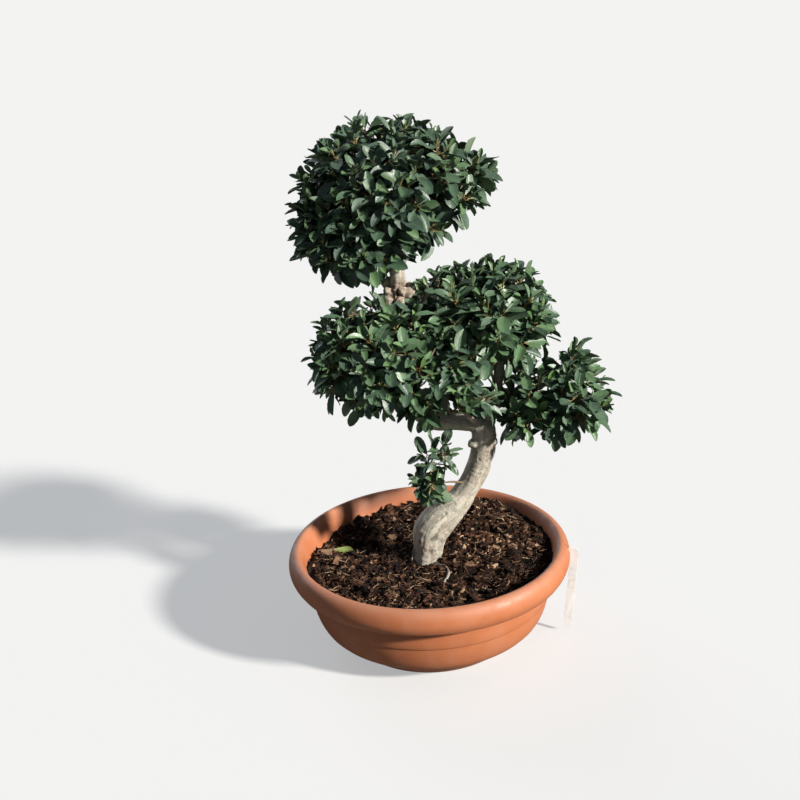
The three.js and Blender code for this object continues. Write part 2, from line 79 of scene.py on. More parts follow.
class Slot(Enum):
    """The record's material slots."""

    TERRACOTTA = "terracotta_plastic"
    SOIL = "potting_soil"
    BARK = "bark"
    FOLIAGE = "foliage"
    TAG = "white_plastic"


# Numbers and curves


def unit(vectors: Array) -> Array:
    """Vectors of length 1 that point the same way."""
    return vectors / np.maximum(np.linalg.norm(vectors, axis=-1, keepdims=True), TINY)


def metres(rows: Sequence[Sequence[float]]) -> Array:
    """Rows of millimetres as an array of metres."""
    return np.array(rows, float) * MM


def smooth_curve(stations: Array, count: int) -> Array:
    """A centripetal Catmull-Rom curve through stations.

    Args:
        stations: rows of x, y, z and any further columns, which run straight from station to station.
        count: how many points the curve gets.

    Returns:
        The curve's rows, with the same columns.
    """
    places = stations[:, :3]
    held = np.vstack([2 * places[0] - places[1], places, 2 * places[-1] - places[-2]])
    along = np.linspace(0, len(places) - 1, count)
    low = np.minimum(along.astype(int), len(places) - 2)
    t = (along - low)[:, None]
    p0, p1, p2, p3 = (held[low + k] for k in range(4))
    gaps = (np.linalg.norm(b - a, axis=1, keepdims=True) for a, b in ((p0, p1), (p1, p2), (p2, p3)))
    d0, d1, d2 = (np.maximum(gap**0.5, TINY) for gap in gaps)
    leaving = ((p1 - p0) / d0 - (p2 - p0) / (d0 + d1) + (p2 - p1) / d1) * d1
    arriving = ((p2 - p1) / d1 - (p3 - p1) / (d1 + d2) + (p3 - p2) / d2) * d1
    curve = (2 * t**3 - 3 * t**2 + 1) * p1 + (t**3 - 2 * t**2 + t) * leaving
    curve += (3 * t**2 - 2 * t**3) * p2 + (t**3 - t**2) * arriving
    rest = stations[low, 3:] * (1 - t) + stations[low + 1, 3:] * t
    return np.hstack([curve, rest])


def frames_along(path: Array) -> tuple[Array, Array, Array]:
    """Tangents and two crosswise directions along a path, which turn as little as they can."""
    tangents = unit(np.gradient(path, axis=0))
    start = UP if abs(tangents[0, 2]) < STEEP else np.array([1.0, 0.0, 0.0])
    sides = [unit(np.cross(tangents[0], start))]
    for tangent in tangents[1:]:
        sides.append(unit(sides[-1] - tangent * (sides[-1] @ tangent)))
    return tangents, np.array(sides), np.cross(tangents, np.array(sides))


def nearest_rows(points: Array, rows: Array) -> tuple[Array, Array]:
    """For each point, the nearest of the rows and the distance to it."""
    nearest, distance = np.zeros(len(points), int), np.zeros(len(points))
    for start in range(0, len(points), BATCH):
        part = slice(start, start + BATCH)
        gaps = np.linalg.norm(points[part, None] - rows[None], axis=-1)
        nearest[part] = gaps.argmin(1)
        distance[part] = gaps.min(1)
    return nearest, distance


def round_angles(count: int) -> Array:
    """Evenly spaced angles that make a whole turn, from 0."""
    return np.arange(count) * 2 * math.pi / count


def turned_to(places: Array, angle: float) -> Array:
    """Places turned about the bowl's middle line by an angle."""
    c, s = math.cos(angle), math.sin(angle)
    return places @ np.array([[c, s, 0], [-s, c, 0], [0, 0, 1]])


def lattice_noise(seed: int, points: Array, size: float) -> Array:
    """Smooth seeded noise from -1 to 1 at points, with lumps of about the given size."""
    table = np.random.default_rng(seed).uniform(-1, 1, LATTICE_VALUES)
    scaled = points / size
    cell = np.floor(scaled).astype(np.int64)
    part = scaled - cell
    part = part * part * (3 - 2 * part)
    total = np.zeros(len(points))
    for corner in itertools.product((0, 1), repeat=3):
        x, y, z = ((cell + corner) * LATTICE_PRIMES).T
        total += table[(x ^ y ^ z) % LATTICE_VALUES] * np.prod(np.where(corner, part, 1 - part), axis=1)
    return total


# Meshes


def placed(name: str, data: bpy.types.ID) -> bpy.types.Object:
    """A new object in the scene that holds the given mesh, light or camera."""
    made = bpy.data.objects.new(name, data)
    bpy.context.scene.collection.objects.link(made)
    return made


def baked(source: bpy.types.Object, name: str) -> bpy.types.Object:
    """A new object with the source's modifiers applied, in place of the source."""
    mesh = bpy.data.meshes.new_from_object(source.evaluated_get(bpy.context.evaluated_depsgraph_get()))
    bpy.data.objects.remove(source)
    return placed(name, mesh)


def store(mesh: bpy.types.Mesh, name: str, values: Array, domain: str = "POINT") -> None:
    """Stores a value or a vector for each point or face of a mesh, for its finish to read."""
    kind, key = ("FLOAT_VECTOR", "vector") if values.ndim == 2 else ("FLOAT", "value")
    mesh.attributes.new(name, kind, domain).data.foreach_set(key, values.astype(np.float32).ravel())


def read_vectors(collection: bpy.types.bpy_prop_collection, key: str) -> Array:
    """The vectors of a mesh's collection as an array."""
    flat = np.zeros(len(collection) * 3, np.float32)
    collection.foreach_get(key, flat)
    return flat.reshape(-1, 3).astype(float)


class MeshParts:
    """Vertices, faces and the values that ride on them, gathered for one mesh."""

    def __init__(self) -> None:
        """Starts with nothing in it."""
        self.vertices: list[Array] = []
        self.faces: list[Array] = []
        self.point_values: dict[str, list[Array]] = {}
        self.face_values: dict[str, list[Array]] = {}
        self.count = 0

    def add(
        self,
        vertices: Array,
        faces: Sequence[Array],
        points: dict[str, Array | float] | None = None,
        sides: dict[str, Sequence[float]] | None = None,
    ) -> None:
        """Adds a batch of faces.

        Args:
            vertices: places, one row each.
            faces: arrays of triangles or quads, which count from the batch's first vertex.
            points: for each name, a value or vector for each vertex, or one for all of them.
            sides: for each name, one value for each of the arrays of faces.
        """
        self.vertices.append(vertices)
        self.faces += [part + self.count for part in faces]
        self.count += len(vertices)
        for name, value in (points or {}).items():
            array = np.asarray(value, float)
            shape = (len(vertices), 3) if array.ndim == 2 else (len(vertices),)
            self.point_values.setdefault(name, []).append(np.broadcast_to(array, shape))
        for name, values in (sides or {}).items():
            arrays = [np.full(len(part), value) for part, value in zip(faces, values)]
            self.face_values.setdefault(name, []).extend(arrays)

    def piece(self, name: str, smooth: bool = True, crease: float = math.radians(60)) -> bpy.types.Object:
        """Makes the object.

        Args:
            name: the piece's name.
            smooth: whether its faces are shaded smooth.
            crease: the angle between two faces from which their edge stays sharp.

        Returns:
            The new object, with its place in its mesh.
        """
        vertices = np.concatenate(self.vertices)
        corners = np.concatenate([part.ravel() for part in self.faces])
        sizes = np.concatenate([np.full(len(part), part.shape[1]) for part in self.faces])
        mesh = bpy.data.meshes.new(name)
        mesh.vertices.add(len(vertices))
        mesh.vertices.foreach_set("co", vertices.astype(np.float32).ravel())
        mesh.loops.add(len(corners))
        mesh.loops.foreach_set("vertex_index", corners.astype(np.int32))
        mesh.polygons.add(len(sizes))
        mesh.polygons.foreach_set("loop_start", np.concatenate([[0], np.cumsum(sizes)[:-1]]).astype(np.int32))
        mesh.update(calc_edges=True)
        for values, domain in ((self.point_values, "POINT"), (self.face_values, "FACE")):
            for label, arrays in values.items():
                store(mesh, label, np.concatenate(arrays), domain)
        mesh.polygons.foreach_set("use_smooth", np.full(len(sizes), smooth))
        if smooth:
            mesh.set_sharp_from_angle(angle=crease)
        return placed(name, mesh)


def ring_faces(rings: int, columns: int) -> Array:
    """The quads between rings of vertices, ring by ring. Each ring's last vertex meets its first."""
    across = np.arange(columns)
    following = (across + 1) % columns
    low = np.arange(rings - 1)[:, None] * columns
    corners = [low + across, low + following, low + columns + following, low + columns + across]
    return np.stack(corners, axis=-1).reshape(-1, 4)


def closed_rings(rings: Array, ends: Array) -> tuple[Array, list[Array]]:
    """The skin over a row of rings, closed at its ends.

    Args:
        rings: places, by ring and by the step round it.
        ends: the middles of the first ring and of the last.

    Returns:
        Its vertices, with the two middles last, and its faces.
    """
    count, columns = rings.shape[:2]
    here = np.arange(columns)
    following = (here + 1) % columns
    first, second = np.full(columns, count * columns), np.full(columns, count * columns + 1)
    last = (count - 1) * columns
    caps = [np.stack([first, following, here], 1), np.stack([second, last + here, last + following], 1)]
    return np.vstack([rings.reshape(-1, 3), ends]), [ring_faces(count, columns), np.vstack(caps)]


def tube(path: Array, radii: Array, sides: int) -> tuple[Array, list[Array]]:
    """A round tube along a path, closed at its ends.

    Args:
        path: its middle line.
        radii: a radius for each point of the path, or one for each point and side.
        sides: how many sides it has.

    Returns:
        Its vertices, with the two ends' middles last, and its faces.
    """
    _, side, other = frames_along(path)
    angles = round_angles(sides)
    spokes = side[:, None] * np.cos(angles)[:, None] + other[:, None] * np.sin(angles)[:, None]
    reach = radii[:, None, None] if radii.ndim == 1 else radii[..., None]
    return closed_rings(path[:, None] + reach * spokes, path[[0, -1]])


def scattered(
    corners: Array,
    faces: Array,
    turns: Array,
    sizes: Array,
    places: Array,
    uneven: float,
    rng: np.random.Generator,
) -> tuple[Array, Array]:
    """Many copies of a small solid, each with its own size, turn and unevenness.

    Args:
        corners: the solid's vertices.
        faces: its faces.
        turns: a 3 by 3 rotation for each copy.
        sizes: a size along each of the solid's axes for each copy.
        places: where each copy goes.
        uneven: how far a vertex may stray, as a share of the size.
        rng: the source of the draws.

    Returns:
        All the vertices and all the faces.
    """
    stray = 1 + rng.uniform(-uneven, uneven, (len(places), len(corners), 3))
    shapes = corners[None] * sizes[:, None] * stray
    vertices = np.einsum("nij,nvj->nvi", turns, shapes) + places[:, None]
    step = np.arange(len(places))[:, None, None] * len(corners)
    return vertices.reshape(-1, 3), (faces[None] + step).reshape(-1, faces.shape[1])


def turned(azimuth: Array, tilt: Array, roll: Array) -> Array:
    """Rotations that roll a solid about its own X, tilt it about Y and then turn it about Z."""
    ca, sa, ct, st, cr, sr = (f(angle) for angle in (azimuth, tilt, roll) for f in (np.cos, np.sin))
    zero, one = np.zeros_like(ca), np.ones_like(ca)
    about_z = np.stack([ca, -sa, zero, sa, ca, zero, zero, zero, one], -1).reshape(-1, 3, 3)
    about_y = np.stack([ct, zero, st, zero, one, zero, -st, zero, ct], -1).reshape(-1, 3, 3)
    about_x = np.stack([one, zero, zero, zero, cr, -sr, zero, sr, cr], -1).reshape(-1, 3, 3)
    return about_z @ about_y @ about_x


def dressed(piece: bpy.types.Object, material: bpy.types.Material, node: str) -> bpy.types.Object:
    """Gives a piece its finish, hangs it on the root body and hides the CAD node that it replaces."""
    piece.data.materials.clear()
    piece.data.materials.append(material)
    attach(piece, "root")
    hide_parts(node)
    return piece


# Shader graphs

Socket = bpy.types.NodeSocket
Value = Socket | float | tuple
Inputs = dict[str | int, Value]


class Graph:
    """Adds nodes to one node tree and links them."""

    def __init__(self, tree: bpy.types.NodeTree) -> None:
        """Works on the given tree."""
        self.tree = tree

    def feed(self, node: bpy.types.Node, inputs: Inputs) -> None:
        """Gives a node's inputs what they get, a socket to link or a value to set."""
        for key, value in inputs.items():
            if isinstance(value, bpy.types.NodeSocket):
                self.tree.links.new(value, node.inputs[key])
            else:
                node.inputs[key].default_value = value

    def node(self, kind: str, inputs: Inputs | None = None, **settings: object) -> bpy.types.Node:
        """Adds a node.

        Args:
            kind: the node's Blender type.
            inputs: what each input gets, a socket to link or a value to set.
            settings: the node's own properties.

        Returns:
            The node.
        """
        made = self.tree.nodes.new(kind)
        for name, value in settings.items():
            setattr(made, name, value)
        self.feed(made, inputs or {})
        return made

    def math(self, operation: str, first: Value, second: Value = 0.0, clamp: bool = False) -> Socket:
        """The result of a Math node."""
        inputs = {0: first, 1: second}
        return self.node("ShaderNodeMath", inputs, operation=operation, use_clamp=clamp).outputs[0]

    def times(self, first: Value, second: Value) -> Socket:
        """The product of two numbers."""
        return self.math("MULTIPLY", first, second)

    def ranged(
        self, value: Value, low: Value, high: Value, to_low: float = 0.0, to_high: float = 1.0
    ) -> Socket:
        """A value eased from one range to another, and held at its ends."""
        inputs = {"Value": value, "From Min": low, "From Max": high, "To Min": to_low, "To Max": to_high}
        return self.node("ShaderNodeMapRange", inputs, interpolation_type="SMOOTHSTEP").outputs[0]

    def mixed(self, share: Value, first: Value, second: Value) -> Socket:
        """A mix of two colours."""
        inputs = {0: share, 6: self.opaque(first), 7: self.opaque(second)}
        return self.node("ShaderNodeMix", inputs, data_type="RGBA").outputs[2]

    def opaque(self, colour: Value) -> Value:
        """A colour of three numbers with a full alpha. Sockets pass through."""
        return (*colour, 1.0) if isinstance(colour, tuple) and len(colour) == 3 else colour

    def ramp(self, value: Value, stops: Sequence[tuple[float, Colour]]) -> Socket:
        """A colour read off a ramp with the given stops."""
        made = self.node("ShaderNodeValToRGB", {0: value})
        elements = made.color_ramp.elements
        for index, (place, colour) in enumerate(stops):
            element = elements[index] if index < 2 else elements.new(place)
            element.position = place
            element.color = (*colour, 1.0)
        return made.outputs[0]

    def noise(self, vector: Value, scale: Value, detail: float = 4.0, roughness: float = 0.55) -> Socket:
        """Plain noise about 0.5."""
        inputs = {"Vector": vector, "Scale": scale, "Detail": detail, "Roughness": roughness}
        return self.node("ShaderNodeTexNoise", inputs).outputs[0]

    def stretched(self, vector: Value, factors: tuple[float, float, float]) -> Socket:
        """Coordinates multiplied by a factor on each axis."""
        return self.node("ShaderNodeVectorMath", {0: vector, 1: factors}, operation="MULTIPLY").outputs[0]

    def riding(self, name: str, output: str = "Fac") -> Socket:
        """A value stored in the mesh."""
        return self.node("ShaderNodeAttribute", attribute_name=name).outputs[output]

    def place(self) -> Socket:
        """The piece's own coordinates in metres."""
        return self.node("ShaderNodeTexCoord").outputs["Object"]

    def group(self, tree: bpy.types.NodeTree, inputs: Inputs) -> Socket:
        """What a shared node group gives with values of its own."""
        return self.node("ShaderNodeGroup", inputs, node_tree=tree).outputs[0]

    def uneven(self, vector: Socket, coarse: float, fine: float, share: float) -> Socket:
        """The height of an uneven surface, by the scales of its lumps and grain and the grain's share."""
        inputs = {"Vector": vector, "Coarse Scale": coarse, "Fine Scale": fine, "Fine Share": share}
        return self.group(relief(), inputs)


def shared_group(
    name: str,
    inputs: dict[str, float | None],
    output: str,
    fill: Callable[[Graph, dict[str, Socket]], Socket],
) -> bpy.types.NodeTree:
    """A node group with one number as its output, built the first time it is asked for.

    Args:
        name: the group's name.
        inputs: each input's usual value, or None for coordinates.
        output: the output's name.
        fill: adds the group's nodes, and gives back the socket that leaves it.

    Returns:
        The group's tree.
    """
    tree = bpy.data.node_groups.get(name)
    if tree is not None:
        return tree
    tree = bpy.data.node_groups.new(name, "ShaderNodeTree")
    for label, usual in inputs.items():
        kind = "NodeSocketVector" if usual is None else "NodeSocketFloat"
        socket = tree.interface.new_socket(label, in_out="INPUT", socket_type=kind)
        if usual is not None:
            socket.default_value = usual
    tree.interface.new_socket(output, in_out="OUTPUT", socket_type="NodeSocketFloat")
    graph = Graph(tree)
    entry = graph.node("NodeGroupInput")
    leaving = fill(graph, {label: entry.outputs[label] for label in inputs})
    graph.node("NodeGroupOutput", {0: leaving})
    return tree


def patches() -> bpy.types.NodeTree:
    """Soft-edged uneven patches, for wear, fading and growth."""

    def fill(graph: Graph, given: dict[str, Socket]) -> Socket:
        """Adds the nodes."""
        broad = graph.noise(given["Vector"], given["Scale"])
        fine = graph.noise(given["Vector"], graph.times(given["Scale"], 3.7))
        summed = graph.math("ADD", graph.times(broad, 0.65), graph.times(fine, 0.35))
        low = graph.math("SUBTRACT", given["Middle"], given["Softness"])
        high = graph.math("ADD", given["Middle"], given["Softness"])
        return graph.ranged(summed, low, high)

    inputs = {"Vector": None, "Scale": 20.0, "Middle": 0.5, "Softness": 0.15}
    return shared_group("patches", inputs, "Mask", fill)


def relief() -> bpy.types.NodeTree:
    """The height of an uneven surface, coarse lumps with a fine grain on them."""

    def fill(graph: Graph, given: dict[str, Socket]) -> Socket:
        """Adds the nodes."""
        coarse = graph.noise(given["Vector"], given["Coarse Scale"], 3.0)
        fine = graph.noise(given["Vector"], given["Fine Scale"], 5.0, 0.6)
        return graph.math("ADD", coarse, graph.times(fine, given["Fine Share"]))

    inputs = {"Vector": None, "Coarse Scale": 60.0, "Fine Scale": 400.0, "Fine Share": 0.4}
    return shared_group("relief", inputs, "Height", fill)


def dust() -> bpy.types.NodeTree:
    """Where dust settles: on what looks up, in uneven patches."""

    def fill(graph: Graph, given: dict[str, Socket]) -> Socket:
        """Adds the nodes."""
        normal = graph.node("ShaderNodeNewGeometry").outputs["Normal"]
        height = graph.node("ShaderNodeSeparateXYZ", {0: normal}).outputs[2]
        facing = graph.ranged(height, 0.1, 0.95)
        spread = graph.ranged(graph.noise(given["Vector"], given["Scale"], 6.0, 0.65), 0.3, 0.7, 0.35, 1.0)
        return graph.math("MULTIPLY", graph.times(facing, spread), given["Amount"], clamp=True)

    return shared_group("dust", {"Vector": None, "Scale": 30.0, "Amount": 0.5}, "Mask", fill)


def fissures() -> bpy.types.NodeTree:
    """Thin lines that run along stretched coordinates, for cracks and wood grain."""

    def fill(graph: Graph, given: dict[str, Socket]) -> Socket:
        """Adds the nodes."""
        grain = graph.noise(given["Vector"], given["Scale"], 3.0, 0.5)
        off = graph.math("ABSOLUTE", graph.math("SUBTRACT", grain, 0.5))
        share = graph.math("DIVIDE", off, given["Width"])
        line = graph.math("SUBTRACT", 1.0, share, clamp=True)
        breaks = graph.noise(given["Vector"], graph.times(given["Scale"], 0.6), 2.0)
        return graph.times(line, graph.ranged(breaks, 0.42, 0.62))

    return shared_group("fissures", {"Vector": None, "Scale": 200.0, "Width": 0.02}, "Mask", fill)


def crackle() -> bpy.types.NodeTree:
    """A net of thin lines, as old skin or dried mud has."""

    def fill(graph: Graph, given: dict[str, Socket]) -> Socket:
        """Adds the nodes."""
        wander = graph.node("ShaderNodeTexNoise", {"Vector": given["Vector"], "Scale": 180.0}).outputs[1]
        shift = graph.stretched(wander, (0.004, 0.004, 0.004))
        moved = graph.node("ShaderNodeVectorMath", {0: given["Vector"], 1: shift}, operation="ADD").outputs[0]
        inputs = {"Vector": moved, "Scale": given["Scale"]}
        cells = graph.node("ShaderNodeTexVoronoi", inputs, feature="DISTANCE_TO_EDGE")
        line = graph.ranged(cells.outputs[0], 0.0, 0.09, 1.0, 0.0)
        fading = graph.ranged(graph.noise(given["Vector"], 70.0), 0.42, 0.6)
        return graph.times(line, fading)

    return shared_group("crackle", {"Vector": None, "Scale": 200.0}, "Mask", fill)


class SurfaceGraph(Graph):
    """The graph of a new material with its surface shader."""

    def __init__(self, name: str) -> None:
        """Makes the material."""
        self.material = bpy.data.materials.new(name)
        self.material.use_nodes = True
        self.material.node_tree.nodes.clear()
        super().__init__(self.material.node_tree)
        self.surface = self.node("ShaderNodeBsdfPrincipled")
        self.node("ShaderNodeOutputMaterial", {"Surface": self.surface.outputs[0]})

    def finished(
        self,
        colour: Value,
        roughness: Value,
        height: Value,
        depth: float,
        strength: float,
        gloss: float = 0.5,
    ) -> bpy.types.Material:
        """Gives the surface its colour, its roughness and its relief.

        Args:
            colour: its colour.
            roughness: its roughness.
            height: how high each point stands, from about 0 to 1.
            depth: what a height of 1 measures.
            strength: how much of the relief shows.
            gloss: how strongly it mirrors, 0.5 for most things.

        Returns:
            The material.
        """
        bump = self.node("ShaderNodeBump", {"Strength": strength, "Distance": depth, "Height": height})
        inputs = {"Base Color": colour, "Roughness": roughness, "Normal": bump.outputs[0]}
        self.feed(self.surface, {**inputs, "Specular IOR Level": gloss})
        return self.material


# Finishes


@dataclass(frozen=True)
class TerracottaPlastic:
    """Moulded plastic the colour of terracotta, matt, a little faded and dusty where it looks up."""

    deep: Colour = (0.42, 0.130, 0.050)
    warm: Colour = (0.46, 0.158, 0.066)
    dusty: Colour = (0.47, 0.215, 0.135)
    smoothest: float = 0.46
    roughest: float = 0.64
    streak_share: float = 0.25
    dust_share: float = 0.8
    scuff_share: float = 0.3

    def material(self) -> bpy.types.Material:
        """Builds the finish."""
        graph = SurfaceGraph("terracotta_plastic")
        place = graph.place()
        fading = graph.group(patches(), {"Vector": place, "Scale": 9.0, "Softness": 0.2})
        colour = graph.mixed(fading, self.deep, self.warm)
        streaks = graph.noise(graph.stretched(place, (34.0, 34.0, 5.0)), 1.0, 3.0)
        colour = graph.mixed(graph.ranged(streaks, 0.45, 0.75, 0.0, self.streak_share), colour, self.dusty)
        settled = graph.group(dust(), {"Vector": place, "Scale": 26.0, "Amount": self.dust_share})
        colour = graph.mixed(settled, colour, self.dusty)
        around = graph.stretched(place, (1.0, 1.0, 3.0))
        scuffs = graph.group(fissures(), {"Vector": around, "Scale": 45.0, "Width": 0.006})
        colour = graph.mixed(graph.times(scuffs, self.scuff_share), colour, self.dusty)
        rough = graph.ranged(graph.noise(place, 55.0), 0.3, 0.7, self.smoothest, self.roughest)
        height = graph.uneven(place, 70.0, 1300.0, 0.25)
        return graph.finished(colour, rough, height, depth=0.6 * MM, strength=0.25)


@dataclass(frozen=True)
class SmoothBark:
    """Pale smooth bark with fine cracks along the limb, grey growth, warm tints, dark scars and painted shade
    in the burl's crevices.
    """

    pale: Colour = (0.63, 0.58, 0.475)
    grey: Colour = (0.26, 0.245, 0.205)
    tinted: Colour = (0.42, 0.28, 0.20)
    crack: Colour = (0.13, 0.095, 0.065)
    # The colour of the scars, which also paints shade into the burl's sunken crevices
    scar_and_shade: Colour = (0.05, 0.036, 0.026)
    callus: Colour = (0.46, 0.31, 0.235)
    roughness: float = 0.78
    growth_share: float = 0.5
    tint_share: float = 0.5
    callus_share: float = 0.8
    crack_share: float = 0.62
    scar_and_shade_share: float = 0.95
    groove: float = 0.8

    def material(self) -> bpy.types.Material:
        """Builds the finish. It reads the mesh's straightened limb coordinates, its scars with the painted
        shade in the burl's crevices, and its burl.
        """
        graph = SurfaceGraph("smooth_bark")
        place = graph.riding("bark_place", "Vector")
        marks_and_shade = graph.riding("bark_marks_and_shade")
        burl = graph.riding("bark_burl")
        long_grain = graph.stretched(place, (1.0, 1.0, 0.16))
        half_long = graph.stretched(place, (1.0, 1.0, 0.5))
        growth = graph.group(patches(), {"Vector": half_long, "Scale": 42.0, "Softness": 0.14})
        colour = graph.mixed(graph.times(growth, self.growth_share), self.pale, self.grey)
        streaks = graph.noise(long_grain, 240.0, 4.0, 0.6)
        colour = graph.mixed(graph.ranged(streaks, 0.5, 0.75, 0.0, self.growth_share), colour, self.grey)
        warmth = graph.group(patches(), {"Vector": place, "Scale": 27.0, "Middle": 0.56, "Softness": 0.08})
        colour = graph.mixed(graph.times(warmth, self.tint_share), colour, self.tinted)
        colour = graph.mixed(graph.times(burl, self.callus_share), colour, self.callus)
        lines = self.cracks(graph, place, long_grain)
        colour = graph.mixed(graph.times(lines, self.crack_share), colour, self.crack)
        # Scars, the darker thin root and painted shade in the burl's crevices all take the colour of the
        # scars
        colour = graph.mixed(graph.times(marks_and_shade, self.scar_and_shade_share), colour, self.scar_and_shade)
        grain = graph.uneven(long_grain, 150.0, 900.0, 0.5)
        height = graph.math("SUBTRACT", grain, graph.times(lines, self.groove))
        return graph.finished(colour, self.roughness, height, depth=1.7 * MM, strength=0.8)

    def cracks(self, graph: Graph, place: Socket, long_grain: Socket) -> Socket:
        """The mask of all the lines in the bark: cracks along the limb, folds across it and a fine net."""
        fine = graph.group(fissures(), {"Vector": long_grain, "Scale": 330.0, "Width": 0.032})
        wide = graph.group(fissures(), {"Vector": long_grain, "Scale": 120.0, "Width": 0.014})
        crosswise = graph.stretched(place, (0.4, 0.4, 1.0))
        folds = graph.group(fissures(), {"Vector": crosswise, "Scale": 260.0, "Width": 0.028})
        squat = graph.stretched(place, (1.0, 1.0, 0.6))
        crazing = graph.group(crackle(), {"Vector": squat, "Scale": 260.0})
        lines = graph.math("MAXIMUM", graph.math("MAXIMUM", fine, wide), graph.times(folds, 0.8))
        return graph.math("MAXIMUM", lines, graph.times(crazing, 0.6))


@dataclass(frozen=True)
class TwigBark:
    """Thin shoots, green and orange-brown at their tips and grey-brown where they are old."""

    old: Colour = (0.13, 0.095, 0.06)
    ripening: Colour = (0.25, 0.16, 0.06)
    tip: Colour = (0.31, 0.29, 0.075)
    roughness: float = 0.6
    speckle_share: float = 0.35

    def material(self) -> bpy.types.Material:
        """Builds the finish. It reads how near each point lies to its shoot's tip."""
        graph = SurfaceGraph("twig_bark")
        place = graph.place()
        young = graph.riding("twig_young")
        colour = graph.ramp(young, [(0.0, self.old), (0.55, self.ripening), (1.0, self.tip)])
        speckle = graph.group(patches(), {"Vector": place, "Scale": 240.0, "Softness": 0.1})
        colour = graph.mixed(graph.times(speckle, self.speckle_share), colour, self.old)
        height = graph.uneven(place, 500.0, 1800.0, 0.5)
        return graph.finished(colour, self.roughness, height, depth=0.4 * MM, strength=0.4)


@dataclass(frozen=True)
class WaxyLeaf:
    """Thick waxy leaves: dark green and glossy above, paler below, with a light midrib and side veins."""

    dark: Colour = (0.012, 0.034, 0.022)
    mid: Colour = (0.034, 0.080, 0.042)
    bright: Colour = (0.100, 0.196, 0.070)
    young: Colour = (0.13, 0.24, 0.045)
    under: Colour = (0.085, 0.145, 0.070)
    rib: Colour = (0.15, 0.20, 0.075)
    stalk: Colour = (0.31, 0.225, 0.075)
    bloom: Colour = (0.20, 0.26, 0.21)
    side_veins: float = 12.0
    vein_slant: float = 2.6
    rib_width: float = 0.115
    rib_taper: float = 0.085
    dust_share: float = 0.16
    smoothest: float = 0.40
    roughest: float = 0.54
    under_roughness: float = 0.25
    gloss: float = 0.8
    name: str = "waxy_leaf"

    def material(self) -> bpy.types.Material:
        """Builds the finish. It reads each blade's own coordinates, tone, age and side."""
        graph = SurfaceGraph(self.name)
        place = graph.place()
        along = graph.riding("leaf_along")
        across = graph.math("ABSOLUTE", graph.riding("leaf_across"))
        tone = graph.riding("leaf_tone")
        fresh = graph.riding("leaf_fresh")
        below = graph.riding("leaf_under")
        mottled = graph.group(patches(), {"Vector": place, "Scale": 95.0, "Softness": 0.22})
        shade = graph.math("ADD", graph.times(tone, 0.8), graph.times(mottled, 0.2))
        upper = graph.ramp(shade, [(0.0, self.dark), (0.55, self.mid), (1.0, self.bright)])
        upper = graph.mixed(fresh, upper, self.young)
        narrowing = graph.math("SUBTRACT", self.rib_width, graph.times(along, self.rib_taper))
        midrib = graph.math("SUBTRACT", 1.0, graph.math("DIVIDE", across, narrowing), clamp=True)
        slant = graph.times(across, self.vein_slant)
        phase = graph.math("SUBTRACT", graph.times(along, self.side_veins), slant)
        wave = graph.math("ABSOLUTE", graph.math("SINE", graph.times(phase, math.pi)))
        veins = graph.ranged(wave, 0.16, 0.0)
        upper = graph.mixed(graph.times(veins, 0.25), upper, self.rib)
        settled = graph.group(dust(), {"Vector": place, "Scale": 60.0, "Amount": self.dust_share})
        upper = graph.mixed(settled, upper, self.bloom)
        upper = graph.mixed(graph.times(midrib, 0.85), upper, self.rib)
        lower = graph.mixed(graph.times(graph.math("MAXIMUM", midrib, veins), 0.5), self.under, self.rib)
        colour = graph.mixed(below, upper, lower)
        colour = graph.mixed(graph.ranged(along, 0.16, 0.0), colour, self.stalk)
        rough = graph.ranged(mottled, 0.0, 1.0, self.smoothest, self.roughest)
        rough = graph.math("ADD", rough, graph.times(below, self.under_roughness))
        grooves = graph.math("ADD", graph.times(midrib, -1.0), graph.times(veins, -0.6))
        puckers = graph.uneven(place, 170.0, 900.0, 0.15)
        height = graph.math("ADD", grooves, graph.times(puckers, 0.7))
        return graph.finished(colour, rough, height, depth=0.8 * MM, strength=0.7, gloss=self.gloss)


@dataclass(frozen=True)
class PottingSoil:
    """Peat and bark mulch, nearly black when deep, reddish brown on top, with tan wood among it."""

    black: Colour = (0.005, 0.0035, 0.003)
    brown: Colour = (0.026, 0.012, 0.007)
    red: Colour = (0.140, 0.062, 0.032)
    tan: Colour = (0.60, 0.40, 0.25)
    roughness: float = 0.92
    gloss: float = 0.2
    damp_share: float = 0.35
    grain_share: float = 0.45

    def material(self) -> bpy.types.Material:
        """Builds the finish. It reads the tone of each bit of mulch."""
        graph = SurfaceGraph("potting_soil")
        place = graph.place()
        tone = graph.riding("soil_tone")
        colour = graph.ramp(tone, [(0.0, self.black), (0.35, self.brown), (0.72, self.red), (1.0, self.tan)])
        damp = graph.group(patches(), {"Vector": place, "Scale": 130.0, "Softness": 0.16})
        colour = graph.mixed(graph.times(damp, self.damp_share), colour, self.black)
        fibrous = graph.stretched(place, (1.0, 0.35, 1.0))
        grain = graph.group(fissures(), {"Vector": fibrous, "Scale": 420.0, "Width": 0.03})
        colour = graph.mixed(graph.times(grain, self.grain_share), colour, self.black)
        height = graph.uneven(place, 260.0, 1200.0, 0.6)
        return graph.finished(colour, self.roughness, height, depth=1.5 * MM, strength=0.8, gloss=self.gloss)


@dataclass(frozen=True)
class BlankFilm:
    """White label film, left blank, with a faint haze of dust."""

    white: Colour = (0.86, 0.86, 0.85)
    hazed: Colour = (0.72, 0.71, 0.68)
    roughness: float = 0.34

    def material(self) -> bpy.types.Material:
        """Builds the finish."""
        graph = SurfaceGraph("blank_film")
        place = graph.place()
        haze = graph.group(patches(), {"Vector": place, "Scale": 60.0, "Middle": 0.58, "Softness": 0.12})
        colour = graph.mixed(haze, self.white, self.hazed)
        height = graph.uneven(place, 45.0, 800.0, 0.1)
        return graph.finished(colour, self.roughness, height, depth=0.6 * MM, strength=0.2)


